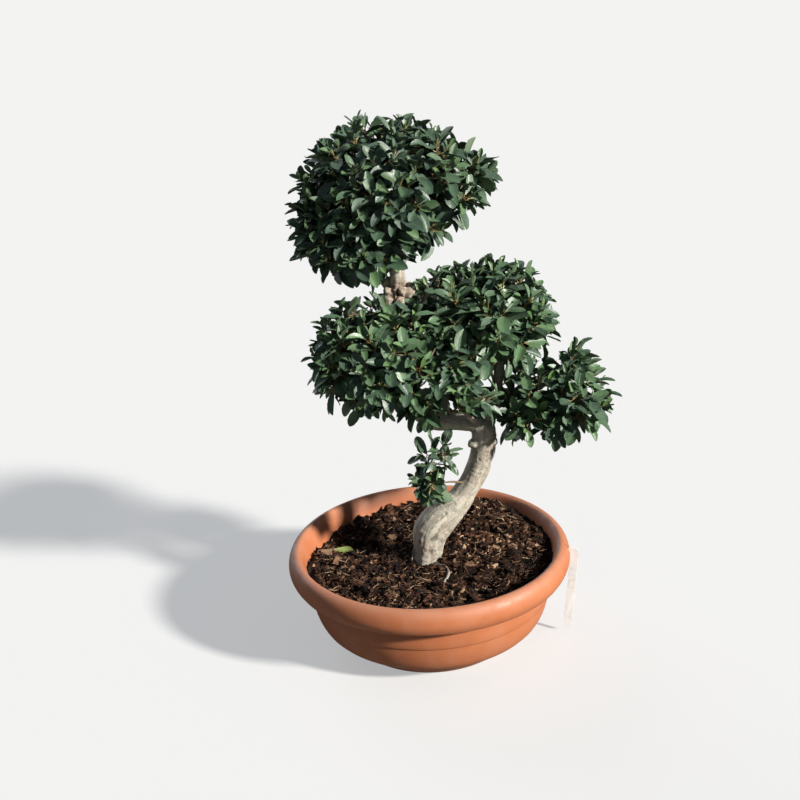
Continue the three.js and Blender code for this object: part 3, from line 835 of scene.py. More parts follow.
@dataclass(frozen=True)
class PaleFloor:
    """The studio's plain pale floor, which throws little light back up and takes pale shadows."""

    colour: Colour = (0.42, 0.42, 0.42)
    bounced: Colour = (0.20, 0.19, 0.18)
    glow: float = 0.40
    roughness: float = 0.95

    def material(self) -> bpy.types.Material:
        """Builds the finish."""
        graph = SurfaceGraph("pale_floor")
        seen = graph.node("ShaderNodeLightPath").outputs["Is Camera Ray"]
        inputs = {
            "Base Color": graph.mixed(seen, self.bounced, self.colour),
            "Roughness": self.roughness,
            "Specular IOR Level": 0.0,
            "Emission Color": (1.0, 1.0, 1.0, 1.0),
            "Emission Strength": graph.times(seen, self.glow),
        }
        graph.feed(graph.surface, inputs)
        return graph.material


# The bowl


@dataclass
class Bowl:
    """A thin moulded bowl with a hollow turned-down rim, a collar, drain holes and a slit for the tag."""

    segments: int = 192
    tag_angle: float = math.radians(-9)
    slit_width: float = 1.7 * MM
    slit_bottom: float = 162 * MM
    slit_radius: float = 246 * MM
    slit_reach: float = 6 * MM
    slit_rise: float = 10 * MM
    drain_holes: int = 6
    drain_radius: float = 6 * MM
    drain_circle: float = 88 * MM
    drain_sides: int = 24
    crease: float = math.radians(38)

    # Outlines of [radius, height] in millimetres. Each is one smooth run, and the corners lie where two meet.
    foot: ClassVar[Outline] = [(0, 0), (60, 0), (136, 0)]
    heel: ClassVar[Outline] = [
        (136, 0), (142, 0.6), (147, 4), (158, 14.6), (177, 28), (196, 44), (204.5, 59), (210, 76),
        (212.2, 88.5),
    ]
    step: ClassVar[Outline] = [(212.2, 88.5), (212.7, 90.2), (214.3, 91.4), (215.2, 93)]
    collar: ClassVar[Outline] = [(215.2, 93), (217.2, 112), (219, 134), (219.4, 140), (222, 152)]
    rim_hollow: ClassVar[Outline] = [
        (222, 152), (226, 164), (234, 175.5), (243.5, 168), (246.5, 153), (240.4, 137.6),
    ]
    lip: ClassVar[Outline] = [(240.4, 137.6), (240.6, 136.4), (241.8, 136), (243.2, 136.6)]
    rim: ClassVar[Outline] = [
        (243.2, 136.6), (247.6, 144), (250, 153), (248.2, 167), (242.4, 176.4), (234, 180), (229, 177.4),
    ]
    inside: ClassVar[Outline] = [
        (229, 177.4), (224.6, 169), (221.5, 160), (216, 136), (212.4, 105), (207, 77), (193, 46), (173, 30),
        (155, 17.5), (143, 5.6),
    ]
    floor: ClassVar[Outline] = [(143, 5.6), (138, 5), (60, 5), (0, 5)]

    def profile(self) -> Array:
        """The closed outline that is turned round the middle, as radius and height."""
        spans = [
            (self.foot, 3), (self.heel, 18), (self.step, 6), (self.collar, 8), (self.rim_hollow, 12),
            (self.lip, 5), (self.rim, 20), (self.inside, 18), (self.floor, 3),
        ]
        runs = []
        for outline, count in spans:
            points = metres([(radius, 0, height) for radius, height in outline])
            runs.append(smooth_curve(points, count)[:-1, [0, 2]])
        return np.vstack([*runs, metres([self.floor[-1]])])

    def shell(self) -> bpy.types.Object:
        """The bowl before its holes are cut."""
        outline = self.profile()
        angles = round_angles(self.segments)
        around = np.stack([np.cos(angles), np.sin(angles)], -1)
        flat = outline[1:-1, None, 0, None] * around
        heights = np.broadcast_to(outline[1:-1, None, 1, None], (*flat.shape[:2], 1))
        ends = np.array([[0, 0, outline[0, 1]], [0, 0, outline[-1, 1]]])
        parts = MeshParts()
        parts.add(*closed_rings(np.concatenate([flat, heights], -1), ends))
        return parts.piece("bowl_shell", crease=self.crease)

    def cutters(self) -> bpy.types.Object:
        """The drain holes and the slit as one set of solids to cut away."""
        parts = MeshParts()
        for index in range(self.drain_holes):
            angle = (index + 0.5) * 2 * math.pi / self.drain_holes
            x, y = self.drain_circle * math.cos(angle), self.drain_circle * math.sin(angle)
            path = metres([(0, 0, -10), (0, 0, 0), (0, 0, 15)]) + [x, y, 0]
            parts.add(*tube(path, np.full(3, self.drain_radius), self.drain_sides))
        corners = BOX_CORNERS * [self.slit_reach, self.slit_width / 2, self.slit_rise]
        corners += [self.slit_radius, 0, self.slit_bottom + self.slit_rise]
        parts.add(turned_to(corners, self.tag_angle), [BOX_FACES])
        return parts.piece("bowl_cutters", smooth=False)

    def build(self) -> list[bpy.types.Object]:
        """Makes the bowl, cut and dressed."""
        shell, cutters = self.shell(), self.cutters()
        cut = shell.modifiers.new("holes", "BOOLEAN")
        cut.operation, cut.solver, cut.object = "DIFFERENCE", "EXACT", cutters
        bowl = baked(shell, "moulded_bowl")
        bpy.data.objects.remove(cutters)
        return [dressed(bowl, TerracottaPlastic().material(), "bowl")]


# The wood


@dataclass
class Limb:
    """A round limb through stations of [x, y, z, radius] in millimetres."""

    stations: Sequence[Station]
    sides: int = 16
    spacing: float = 3 * MM
    ridges: float = 0.0

    def sampled(self, spacing: float) -> Array:
        """Rows of x, y, z and radius along the limb, about the given distance apart."""
        stations = metres(self.stations)
        length = np.linalg.norm(np.diff(stations[:, :3], axis=0), axis=1).sum()
        return smooth_curve(stations, max(6, round(length / spacing)))

    def solid(self) -> tuple[Array, list[Array]]:
        """The limb's vertices and faces, with its ridges."""
        rows = self.sampled(self.spacing)
        along = np.linspace(0, 1, len(rows))[:, None]
        angles = round_angles(self.sides)[None]
        swell = np.sin(3 * angles + 7 * along) + 0.6 * np.sin(5 * angles - 11 * along)
        return tube(rows[:, :3], rows[:, 3:4] * (1 + self.ridges * swell), self.sides)


@dataclass
class Wood:
    """Root stock, S-shaped trunk, limbs, burl, scars and the root that shows, grown as one."""

    voxel: float = 1.6 * MM
    rounding: int = 4
    lump: float = 0.9 * MM
    furrow: float = 0.75 * MM
    wrinkle: float = 0.4 * MM
    swell: float = 1.2 * MM
    crest: float = 1.5 * MM
    crest_angle: float = math.radians(166)
    crest_width: float = 0.22
    crest_span: Pair = (150 * MM, 262 * MM)
    # The hollow beside the crest: its depth as a share of the crest, its angle from it and its width
    hollow_share: float = 1.3
    hollow_offset: float = 0.75
    hollow_width: float = 0.42
    scar_spread: float = 1.4
    scar_lip: float = 0.4 * MM
    scar_depth: float = 1.0 * MM
    burl_lump: float = 2.8 * MM
    burl_grain: float = 2.4 * MM
    root_start: float = -50 * MM
    root_top: float = 172 * MM
    root_stain: float = 0.35

    # The burl's middle and reach, [x, y, z, radius]
    burl: ClassVar[Station] = (-27, -5, 638, 30)

    trunk: ClassVar[Limb] = Limb(
        [
            (-5, -13, 110, 22), (-3, -14, 137, 25), (-3, -14, 158, 26), (-1, -13, 176, 27),
            (1, -12, 190, 29), (5, -10, 204, 31), (13, -9, 216, 31), (24, -7, 227, 30),
            (37, -5, 238, 27.5), (49, -2, 248, 25), (61, 1, 259, 22.7), (71, 4, 273, 21.5),
            (79, 6, 285, 20.7), (86, 8, 299, 20.5), (94, 8, 315, 20.7), (99, 7, 330, 20.5),
            (103, 6, 345, 21.3), (105, 4, 372, 21.5), (102, 3, 392, 21), (94, 4, 404, 14),
        ],
        sides=48,
        ridges=0.03,
    )
    left: ClassVar[Limb] = Limb(
        [
            (99, 4, 394, 15), (80, 7, 402, 18), (54, 12, 404, 17.5), (28, 18, 404, 17.5),
            (6, 24, 413, 17), (-15, 26, 438, 16.5), (-29, 22, 478, 16), (-36, 17, 526, 15.5),
            (-37, 12, 572, 16), (-34, 8, 614, 17), (-29, 6, 640, 19), (-28, 4, 668, 12.5),
            (-31, 2, 704, 11), (-36, 0, 738, 9),
        ],
        sides=36,
        ridges=0.04,
    )
    right: ClassVar[Limb] = Limb(
        [
            (105, 4, 378, 15), (114, 7, 408, 14), (125, 10, 440, 12), (133, 11, 469, 10.5), (136, 15, 500, 9),
            (130, 22, 528, 7),
        ],
        sides=24,
        ridges=0.03,
    )
    side_limbs: ClassVar[list[Limb]] = [
        Limb([(-30, 6, 640, 12), (-24, 8, 672, 8), (-12, 10, 706, 6.5), (6, 6, 742, 5)]),
        Limb([(-30, 6, 636, 14), (-52, 4, 664, 8), (-74, -4, 692, 6.5), (-92, -8, 724, 5)]),
        Limb([(-29, 6, 648, 13), (-30, -16, 678, 8), (-34, -34, 706, 6), (-38, -46, 738, 4.5)]),
        Limb([(-14, 26, 436, 14), (-26, 4, 452, 9), (-40, -12, 476, 7.5), (-54, -24, 504, 5.5)]),
        Limb([(128, 10, 446, 9), (152, 8, 450, 8), (184, 4, 444, 7), (216, 0, 446, 5.5)]),
        Limb([(100, 2, 398, 12), (84, -14, 418, 7), (68, -26, 440, 5.5), (56, -34, 466, 4.5)]),
    ]
    roots: ClassVar[list[Limb]] = [
        Limb(
            [
                (2, -22, 142, 11), (15, -46, 155, 4.4), (27, -63, 160, 3.2), (31, -81, 161.5, 3),
                (28, -100, 161, 2.8), (20, -113, 157, 2.6), (12, -120, 145, 2.4),
            ],
            spacing=2 * MM,
        ),
        Limb(
            [(-16, -20, 186, 4), (-27, -22, 176, 2.4), (-30, -26, 164, 2), (-31, -28, 150, 2)],
            spacing=2 * MM,
        ),
    ]
    # Healed stubs, the burl's lumps and the swellings at the foot, each [x, y, z, radius]
    knots: ClassVar[list[Station]] = [
        (86, -6, 366, 9), (120, -4, 367, 9), (-14, -5, 641, 12), (-45, -3, 628, 12), (-22, -10, 610, 9),
        (-8, -4, 652, 6), (-45, -4, 644, 8), (-26, -14, 628, 8), (-20, -13, 646, 7), (-6, -2, 640, 6),
        (-49, 0, 634, 7),
    ]
    # Dark scars in the bark, each [x, y, z, radius]
    scars: ClassVar[list[Station]] = [
        (12, -38, 206, 5), (6, -40, 203, 3.5), (2, -38, 180, 5), (-6, -37, 182, 3.2),
        (10, -36, 179, 2.4), (25, -34, 244, 4.5), (33, -31, 247, 3.2), (82, -12, 352, 7),
        (63, -18, 236, 3.5), (116, -10, 350, 4.5), (112, -12, 322, 3.5), (96, -12, 338, 3),
        (-16, -34, 196, 3), (50, -24, 262, 2.6),
    ]

    def limbs(self) -> list[Limb]:
        """All the limbs that show."""
        return [self.trunk, self.left, self.right, *self.side_limbs, *self.roots]

    def joined(self) -> bpy.types.Object:
        """The limbs and lumps as one skin of small even faces."""
        parts = MeshParts()
        for limb in self.limbs():
            parts.add(*limb.solid())
        for x, y, z, radius in metres(self.knots):
            rise = np.linspace(-0.98, 0.98, 9)
            path = np.array([x, y, z]) + np.outer(rise * radius, UP)
            parts.add(*tube(path, radius * np.sqrt(1 - rise**2), 14))
        rough = parts.piece("wood_parts")
        skin = rough.modifiers.new("skin", "REMESH")
        skin.mode, skin.voxel_size, skin.adaptivity = "VOXEL", self.voxel, 0.0
        soften = rough.modifiers.new("soften", "SMOOTH")
        soften.factor, soften.iterations = 0.5, self.rounding
        return baked(rough, "grown_wood")

    def straightened(self, points: Array) -> Array:
        """Coordinates that run along and around whichever limb each point belongs to.

        Args:
            points: places on the wood.

        Returns:
            For each, two coordinates across the limb and its distance along it, in metres.
        """
        total, weights = np.zeros((len(points), 3)), np.zeros((len(points), 1))
        start = 0.0
        for limb in self.limbs():
            rows = limb.sampled(2 * MM)
            tangents, sides, others = frames_along(rows[:, :3])
            steps = np.linalg.norm(np.diff(rows[:, :3], axis=0), axis=1)
            run = start + np.concatenate([[0], np.cumsum(steps)])
            start = run[-1]
            nearest, distance = nearest_rows(points, rows[:, :3])
            off = points - rows[nearest, :3]
            across = np.stack([(off * sides[nearest]).sum(1), (off * others[nearest]).sum(1)], 1)
            lengthwise = run[nearest] + (off * tangents[nearest]).sum(1)
            weight = ((rows[nearest, 3] / np.maximum(distance, TINY)) ** 8)[:, None]
            total += weight * np.column_stack([across, lengthwise])
            weights += weight
        return total / weights

    def relief(self, places: Array, bark: Array) -> Array:
        """How far the surface rises at each place: lumps, furrows along the limbs and the trunk's crest."""
        rise = self.lump * lattice_noise(5, bark * [1, 1, 0.4], 12 * MM)
        rise += self.furrow * lattice_noise(6, bark * [1, 1, 0.16], 5 * MM)
        rise += self.wrinkle * lattice_noise(9, bark * [0.35, 0.35, 1], 4 * MM)
        rise += self.swell * lattice_noise(7, places, 30 * MM)
        about = np.arctan2(bark[:, 1], bark[:, 0])
        low, high = self.crest_span
        share = np.clip((places[:, 2] - low) / (high - low), 0, 1)
        fade = np.sin(math.pi * share) ** 0.5
        off = np.angle(np.exp(1j * (about - self.crest_angle)))
        crest = np.exp(-((off / self.crest_width) ** 2))
        hollow = np.exp(-(((off + self.hollow_offset) / self.hollow_width) ** 2))
        return rise + fade * (self.crest * crest - self.hollow_share * self.crest * hollow)

    def build(self) -> list[bpy.types.Object]:
        """Makes the wood with its relief, scars, burl, painted shade in the burl's crevices and bark."""
        wood = self.joined()
        mesh = wood.data
        places = read_vectors(mesh.vertices, "co")
        normals = read_vectors(mesh.vertex_normals, "vector")
        bark = self.straightened(places)
        rise = self.relief(places, bark)
        marks_and_shade = np.zeros(len(places))
        for x, y, z, radius in metres(self.scars):
            gap = np.linalg.norm((places - [x, y, z]) / [1.0, 1.0, 1.4], axis=1)
            reach = self.scar_spread * radius
            marks_and_shade = np.maximum(marks_and_shade, np.clip(1.5 - 1.5 * gap / reach, 0, 1))
            lip = np.exp(-(((gap - reach) / (0.5 * radius)) ** 2))
            rise += self.scar_lip * lip - self.scar_depth * np.exp(-((gap / radius) ** 2))
        x, y, z, radius = metres([self.burl])[0]
        burl = np.clip(1.6 - 1.6 * np.linalg.norm(places - [x, y, z], axis=1) / radius, 0, 1)
        coarse = lattice_noise(11, places * [1, 1, 0.6], 7 * MM)
        fine = lattice_noise(12, places * [1, 1, 0.5], 3.2 * MM)
        rise += burl * (self.burl_lump * coarse + self.burl_grain * fine)
        marks_and_shade *= 0.7 + 0.6 * lattice_noise(8, places, 1.6 * MM)
        is_thin_root = (places[:, 1] < self.root_start) & (places[:, 2] < self.root_top)
        marks_and_shade = np.maximum(marks_and_shade, self.root_stain * is_thin_root)
        # Painted shade: where the burl's relief sinks, its crevices are darkened with the colour of the scars
        marks_and_shade = np.maximum(marks_and_shade, burl * np.clip(-2.2 * (coarse + fine) - 0.2, 0, 1))
        moved = places + normals * rise[:, None]
        mesh.vertices.foreach_set("co", moved.astype(np.float32).ravel())
        values = {"bark_marks_and_shade": np.clip(marks_and_shade, 0, 1), "bark_burl": burl, "bark_place": bark}
        for name, value in values.items():
            store(mesh, name, value)
        mesh.polygons.foreach_set("use_smooth", np.full(len(mesh.polygons), True))
        mesh.update()
        return [dressed(wood, SmoothBark().material(), "trunk")]

    def samples(self) -> Array:
        """Rows of x, y, z and radius along every limb."""
        return np.vstack([limb.sampled(5 * MM) for limb in self.limbs()])


# The soil


@dataclass
class Soil:
    """The ground in the bowl: a clodded surface strewn with bark, fibres and crumbs."""

    level: float = 155 * MM
    mound: float = 8 * MM
    dip: float = 7 * MM
    hollow: float = 25 * MM
    bank: float = 17 * MM
    slope: float = 0.02
    fall: float = 6 * MM
    shoulder: float = 219 * MM
    roughness: float = 5 * MM
    lump: float = 5.5 * MM
    clod: float = 4.2 * MM
    grit: float = 2.3 * MM
    clearance: float = 0.6 * MM
    bottom: float = 105 * MM
    rings: int = 110
    segments: int = 300
    chips: int = 2300
    crumbs: int = 4300
    fibres: int = 2100
    # The ranges of the mulch's sizes in millimetres. A chip's width is a share of its length instead.
    chip_length: ClassVar[Pair] = (3, 28)
    chip_width: ClassVar[Pair] = (0.25, 0.6)
    chip_thickness: ClassVar[Pair] = (1.2, 3.6)
    crumb_size: ClassVar[Pair] = (1.5, 6.5)
    fibre_length: ClassVar[Pair] = (7, 30)
    fibre_radius: ClassVar[Pair] = (0.3, 0.75)
    # How far the corners of chips and crumbs stray, and how chips tilt and roll
    chip_stray: float = 0.32
    crumb_stray: float = 0.3
    chip_tilt: float = 0.3
    chip_roll: float = 0.5
    # Where fresh wood lies on top, as its middle and its reach
    fresh_wood: Pair = (92 * MM, 8 * MM)
    fresh_reach: float = 62 * MM
    freshness: float = 0.24
    darkening: float = 0.04
    # Each swell's middle and its reach along X and Y, in millimetres
    mound_place: ClassVar[Station] = (75, -15, 85, 85)
    bank_place: ClassVar[Station] = (105, 160, 115, 75)
    dip_place: ClassVar[Station] = (-5, -32, 48, 48)
    hollow_place: ClassVar[Station] = (-100, 82, 95, 50)

    def broad_height(self, x: Array, y: Array) -> Array:
        """The height of the surface without its clods."""
        mm = 1 / MM

        def bell(left: float, front: float, wide: float, deep: float) -> Array:
            """Falls from one at a place in millimetres, with its own reach along X and Y."""
            return np.exp(-(((x * mm - left) / wide) ** 2) - ((y * mm - front) / deep) ** 2)

        raised = self.mound * bell(*self.mound_place) + self.bank * bell(*self.bank_place)
        sunken = self.dip * bell(*self.dip_place) + self.hollow * bell(*self.hollow_place)
        fall = self.fall * (np.hypot(x, y) / self.shoulder) ** 6
        broad = np.sin(x * mm * 0.031 + 1.3) * np.cos(y * mm * 0.027 - 0.4)
        clods = np.sin((x * 0.113 + y * 0.071) * mm) * np.sin((y * 0.127 - x * 0.053) * mm + 2.1)
        rough = self.roughness * (0.5 * broad + 0.6 * clods)
        return self.level + raised - sunken + self.slope * x - fall + rough

    def height(self, x: Array, y: Array) -> Array:
        """The height of the surface, clods and crumbs included."""
        flat = np.column_stack([x, y, np.zeros_like(x)])
        lumps = self.lump * lattice_noise(21, flat, 19 * MM) + self.clod * lattice_noise(22, flat, 8 * MM)
        return self.broad_height(x, y) + lumps + self.grit * lattice_noise(23, flat, 3.6 * MM)

    def wall_radius(self, z: Array) -> Array:
        """The radius of the bowl's inner wall at a height."""
        wall = metres(sorted([(z, r) for r, z in Bowl.inside]))
        return np.interp(z, wall[:, 0], wall[:, 1])

    def surface(self) -> bpy.types.Object:
        """The ground as a closed body whose edge follows the bowl's wall."""
        edge = float(self.wall_radius(np.array([self.level]))[0])
        angles = round_angles(self.segments)
        shares = np.linspace(0, 1, self.rings + 1)[1:] ** 0.8
        x = edge * shares[:, None] * np.cos(angles)
        y = edge * shares[:, None] * np.sin(angles)
        z = self.height(x.ravel(), y.ravel()).reshape(x.shape)
        scale = (self.wall_radius(z[-1]) - self.clearance) / edge
        x[-1], y[-1] = x[-1] * scale, y[-1] * scale
        low = float(self.wall_radius(np.array([self.bottom]))[0]) - self.clearance
        x = np.vstack([x, low * np.cos(angles)])[::-1]
        y = np.vstack([y, low * np.sin(angles)])[::-1]
        z = np.vstack([z, np.full(self.segments, self.bottom)])[::-1]
        top = float(self.height(np.zeros(1), np.zeros(1))[0])
        vertices, faces = closed_rings(np.stack([x, y, z], -1), np.array([[0, 0, self.bottom], [0, 0, top]]))
        coarse, fine = lattice_noise(24, vertices, 12 * MM), lattice_noise(25, vertices, 4 * MM)
        parts = MeshParts()
        parts.add(vertices, faces, {"soil_tone": 0.20 + 0.22 * coarse + 0.24 * fine})
        return parts.piece("soil_surface")

    def spots(self, count: int, rng: np.random.Generator, lift: Array) -> Array:
        """Places spread over the surface, at the given heights above it."""
        reach = (self.shoulder - 10 * MM) * np.sqrt(rng.uniform(0.0, 1.0, count))
        azimuth = rng.uniform(0, 2 * math.pi, count)
        x, y = reach * np.cos(azimuth), reach * np.sin(azimuth)
        return np.column_stack([x, y, self.height(x, y) + lift])

    def mulch(self) -> bpy.types.Object:
        """Bark chips, crumbs and fibres that lie on the surface."""
        rng = np.random.default_rng(31)
        parts = MeshParts()
        long = MM * np.clip(rng.lognormal(1.9, 0.55, self.chips), *self.chip_length)
        wide = long * rng.uniform(*self.chip_width, self.chips)
        sizes = np.column_stack([long, wide, MM * rng.uniform(*self.chip_thickness, self.chips)])
        heading = rng.uniform(0, 2 * math.pi, self.chips)
        tilt = rng.normal(0, self.chip_tilt, self.chips)
        turns = turned(heading, tilt, rng.normal(0, self.chip_roll, self.chips))
        places = self.spots(self.chips, rng, 0.5 * MM + 0.35 * sizes[:, 2])
        box, octahedron = BOX_CORNERS * 0.5, OCTAHEDRON_CORNERS * 0.5
        vertices, faces = scattered(box, BOX_FACES, turns, sizes, places, self.chip_stray, rng)
        tones = self.toned(places, rng.beta(1.5, 1.9, self.chips))
        parts.add(vertices, [faces], {"soil_tone": np.repeat(tones, len(box))})
        sizes = MM * rng.uniform(*self.crumb_size, (self.crumbs, 1)) * rng.uniform(0.6, 1.3, (self.crumbs, 3))
        turns = turned(*(rng.uniform(0, 2 * math.pi, self.crumbs) for _ in range(3)))
        places = self.spots(self.crumbs, rng, 0.2 * sizes[:, 2])
        stray = self.crumb_stray
        vertices, faces = scattered(octahedron, OCTAHEDRON_FACES, turns, sizes, places, stray, rng)
        tones = self.toned(places, rng.beta(1.1, 2.5, self.crumbs))
        parts.add(vertices, [faces], {"soil_tone": np.repeat(tones, len(octahedron))})
        self.add_fibres(parts, rng)
        return parts.piece("mulch", smooth=False)

    def toned(self, places: Array, tones: Array) -> Array:
        """The tones of bits that lie at the given places, paler where fresh wood lies on top."""
        gap = np.linalg.norm(places[:, :2] - self.fresh_wood, axis=1)
        paler = self.freshness * np.exp(-((gap / self.fresh_reach) ** 2))
        return np.clip(tones + paler - self.darkening, 0, 1)

    def add_fibres(self, parts: MeshParts, rng: np.random.Generator) -> None:
        """Adds thin bent strands of wood."""
        for place in self.spots(self.fibres, rng, np.full(self.fibres, 1.6 * MM)):
            length = MM * rng.uniform(*self.fibre_length)
            heading, bend, rise = rng.uniform(0, 2 * math.pi), rng.normal(0, 0.5), rng.normal(0.0, 0.16)
            t = np.linspace(-0.5, 0.5, 5)
            along, aside = length * t, length * bend * (t**2 - 0.1)
            x = place[0] + along * math.cos(heading) - aside * math.sin(heading)
            y = place[1] + along * math.sin(heading) + aside * math.cos(heading)
            if np.hypot(x, y).max() >= self.shoulder - 7 * MM:
                continue
            path = np.column_stack([x, y, place[2] + along * rise])
            path[:, 2] = np.maximum(path[:, 2], self.height(x, y) + 0.3 * MM)
            radii = MM * rng.uniform(*self.fibre_radius) * np.array([0.6, 1, 1, 0.9, 0.5])
            parts.add(*tube(path, radii, 3), {"soil_tone": rng.beta(2.6, 1.3)})

    def build(self) -> list[bpy.types.Object]:
        """Makes the ground and what lies on it."""
        material = PottingSoil().material()
        return [dressed(piece, material, "soil") for piece in (self.surface(), self.mulch())]


# Leaves and shoots


class Detail(Enum):
    """How finely a blade is modelled: places along it and places across it."""

    FULL = ((0.0, 0.13, 0.36, 0.6, 0.81, 0.94, 1.0), (-1.0, -0.5, 0.0, 0.5, 1.0))
    INNER = ((0.0, 0.3, 0.75, 1.0), (-1.0, 0.0, 1.0))


@dataclass
class Leaf:
    """One leaf: where its blade starts, how it points and how it is shaped."""

    spot: Array
    direction: Array
    normal: Array
    length: float
    fresh: float
    tone: float
    droop: float
    fold: float


@dataclass
class Shoot:
    """A shoot's tip: where it is, how it points, the middle that it grew from, and how deep it lies."""

    heart: Array
    axis: Array
    origin: Array
    inner: bool = False


def half_width(along: Array) -> Array:
    """A blade's half width along it, from 0 to 1: broadest past its middle, with a blunt tip."""
    rise, fall, narrowest = 0.85, 0.62, 0.09
    peak = rise / (rise + fall)
    shape = along**rise * (1 - along) ** fall / (peak**rise * (1 - peak) ** fall)
    return np.maximum(shape, narrowest)


def blade_pattern(detail: Detail) -> tuple[Array, Array, Array, Array]:
    """The vertices and faces that every blade of one detail shares.

    Args:
        detail: how finely it is modelled.

    Returns:
        Places along and across for each vertex, with the underside's inner vertices last, and the faces of
        the upper side and of the underside. Both sides share their edge.
    """
    rows, columns = (np.array(places) for places in detail.value)
    upper = np.arange(len(rows) * len(columns)).reshape(len(rows), len(columns))
    lower = upper.copy()
    inner = (len(rows) - 2) * (len(columns) - 2)
    lower[1:-1, 1:-1] = upper.size + np.arange(inner).reshape(len(rows) - 2, len(columns) - 2)
    along, across = (grid.ravel() for grid in np.meshgrid(rows, columns, indexing="ij"))
    along = np.concatenate([along, np.repeat(rows[1:-1], len(columns) - 2)])
    across = np.concatenate([across, np.tile(columns[1:-1], len(rows) - 2)])
    tops, unders = [], []
    for r, c in itertools.product(range(len(rows) - 1), range(len(columns) - 1)):
        tops.append([upper[r, c], upper[r + 1, c], upper[r + 1, c + 1], upper[r, c + 1]])
        unders.append([lower[r, c], lower[r, c + 1], lower[r + 1, c + 1], lower[r + 1, c]])
    return along, across, np.array(tops), np.array(unders)


@dataclass
class Blades:
    """Builds the meshes of leaves, blade and stalk, for one piece."""

    width_share: float = 0.5
    thickness: float = 0.7 * MM
    # The stalk's length on a leaf of the usual length
    stalk: float = 7 * MM
    usual_length: float = 45 * MM
    stalk_radius: float = 0.75 * MM
    overlap: float = 2 * MM
    # How far each blade strays from the pattern: in its width, its waves, its curl and its sideways bend
    width_range: Pair = (0.86, 1.14)
    waviness: float = 0.1
    curl: float = 0.07
    sway: float = 0.06

    def add(self, parts: MeshParts, leaves: Sequence[Leaf], detail: Detail, rng: np.random.Generator) -> None:
        """Adds leaves to a mesh.

        Args:
            parts: where they go.
            leaves: the leaves.
            detail: how finely they are modelled.
            rng: the source of each blade's own waves.
        """
        if not leaves:
            return
        along, across, tops, unders = blade_pattern(detail)
        count, size = len(leaves), len(along)
        spot = np.array([leaf.spot for leaf in leaves])
        direction = np.array([leaf.direction for leaf in leaves])
        normal = np.array([leaf.normal for leaf in leaves])
        numbers = np.array([(leaf.length, leaf.fresh, leaf.tone, leaf.droop, leaf.fold) for leaf in leaves])
        length, fresh, tone, droop, fold = numbers.T[..., None]
        side = unit(np.cross(normal, direction))
        normal = np.cross(direction, side)
        stalk = self.stalk * (length / self.usual_length)
        root = spot + direction * stalk
        half = self.width_share * length / 2 * half_width(along) * rng.uniform(*self.width_range, (count, 1))
        swing = self.waviness * rng.normal(size=(count, 1))
        wave = swing * np.sin(along * 7 + rng.uniform(0, 6.3, (count, 1))) * across**2
        curl = rng.normal(0, self.curl, (count, 1)) * across * along
        x = length * (along - droop**2 * along**3 / 6)
        y = across * half * (1 - 0.5 * fold**2)
        cup = fold * (0.75 * np.abs(across) + 0.35 * across**2)
        z = -length * droop * along**2 / 2 + half * (cup + wave + curl)
        rows, columns = detail.value
        under = np.arange(size) >= size - (len(rows) - 2) * (len(columns) - 2)
        z = z - self.thickness * under * (1 - across**2)
        sway = rng.normal(0, self.sway, (count, 1)) * length * along**2
        vertices = root[:, None] + x[..., None] * direction[:, None] + (y + sway)[..., None] * side[:, None]
        vertices = (vertices + z[..., None] * normal[:, None]).reshape(-1, 3)
        step = np.arange(count)[:, None, None] * size
        faces = [(part[None] + step).reshape(-1, 4) for part in (tops, unders)]
        points = {
            "leaf_along": np.tile(along, count),
            "leaf_across": np.tile(across, count),
            "leaf_tone": np.repeat(tone[:, 0], size),
            "leaf_fresh": np.repeat(fresh[:, 0], size),
        }
        parts.add(vertices, faces, points, {"leaf_under": (0.0, 1.0)})
        inside = root + direction * self.overlap
        self.add_stalks(parts, spot, inside, side, normal, tone[:, 0], fresh[:, 0])

    def add_stalks(
        self, parts: MeshParts, low: Array, high: Array, side: Array, normal: Array, tone: Array, fresh: Array
    ) -> None:
        """Adds the leaves' three-sided stalks, from their shoots to just inside their blades."""
        angles = round_angles(3) + math.pi / 2
        spokes = np.cos(angles)[:, None] * side[:, None] + np.sin(angles)[:, None] * normal[:, None]
        low_ring = low[:, None] + self.stalk_radius * spokes
        high_ring = high[:, None] - normal[:, None] * 0.3 * MM + 0.6 * self.stalk_radius * spokes
        vertices = np.concatenate([low_ring, high_ring], axis=1).reshape(-1, 3)
        step = np.arange(len(low))[:, None, None] * 6
        quads = (np.array([(0, 1, 4, 3), (1, 2, 5, 4), (2, 0, 3, 5)])[None, :, ::-1] + step).reshape(-1, 4)
        caps = (np.array([(0, 1, 2), (3, 5, 4)])[None] + step).reshape(-1, 3)
        points = {
            "leaf_along": 0.0,
            "leaf_across": 0.0,
            "leaf_tone": np.repeat(tone, 6),
            "leaf_fresh": np.repeat(fresh, 6),
        }
        parts.add(vertices, [quads, caps], points, {"leaf_under": (0.0, 0.0)})


def beside(points: Array, sightline: Array) -> Array:
    """Whether each point lies outside a sightline, a row of x, y, z, direction and radius."""
    off = points - sightline[:3]
    gap = np.linalg.norm(off - np.outer(off @ sightline[3:6], sightline[3:6]), axis=1)
    return gap > sightline[6]


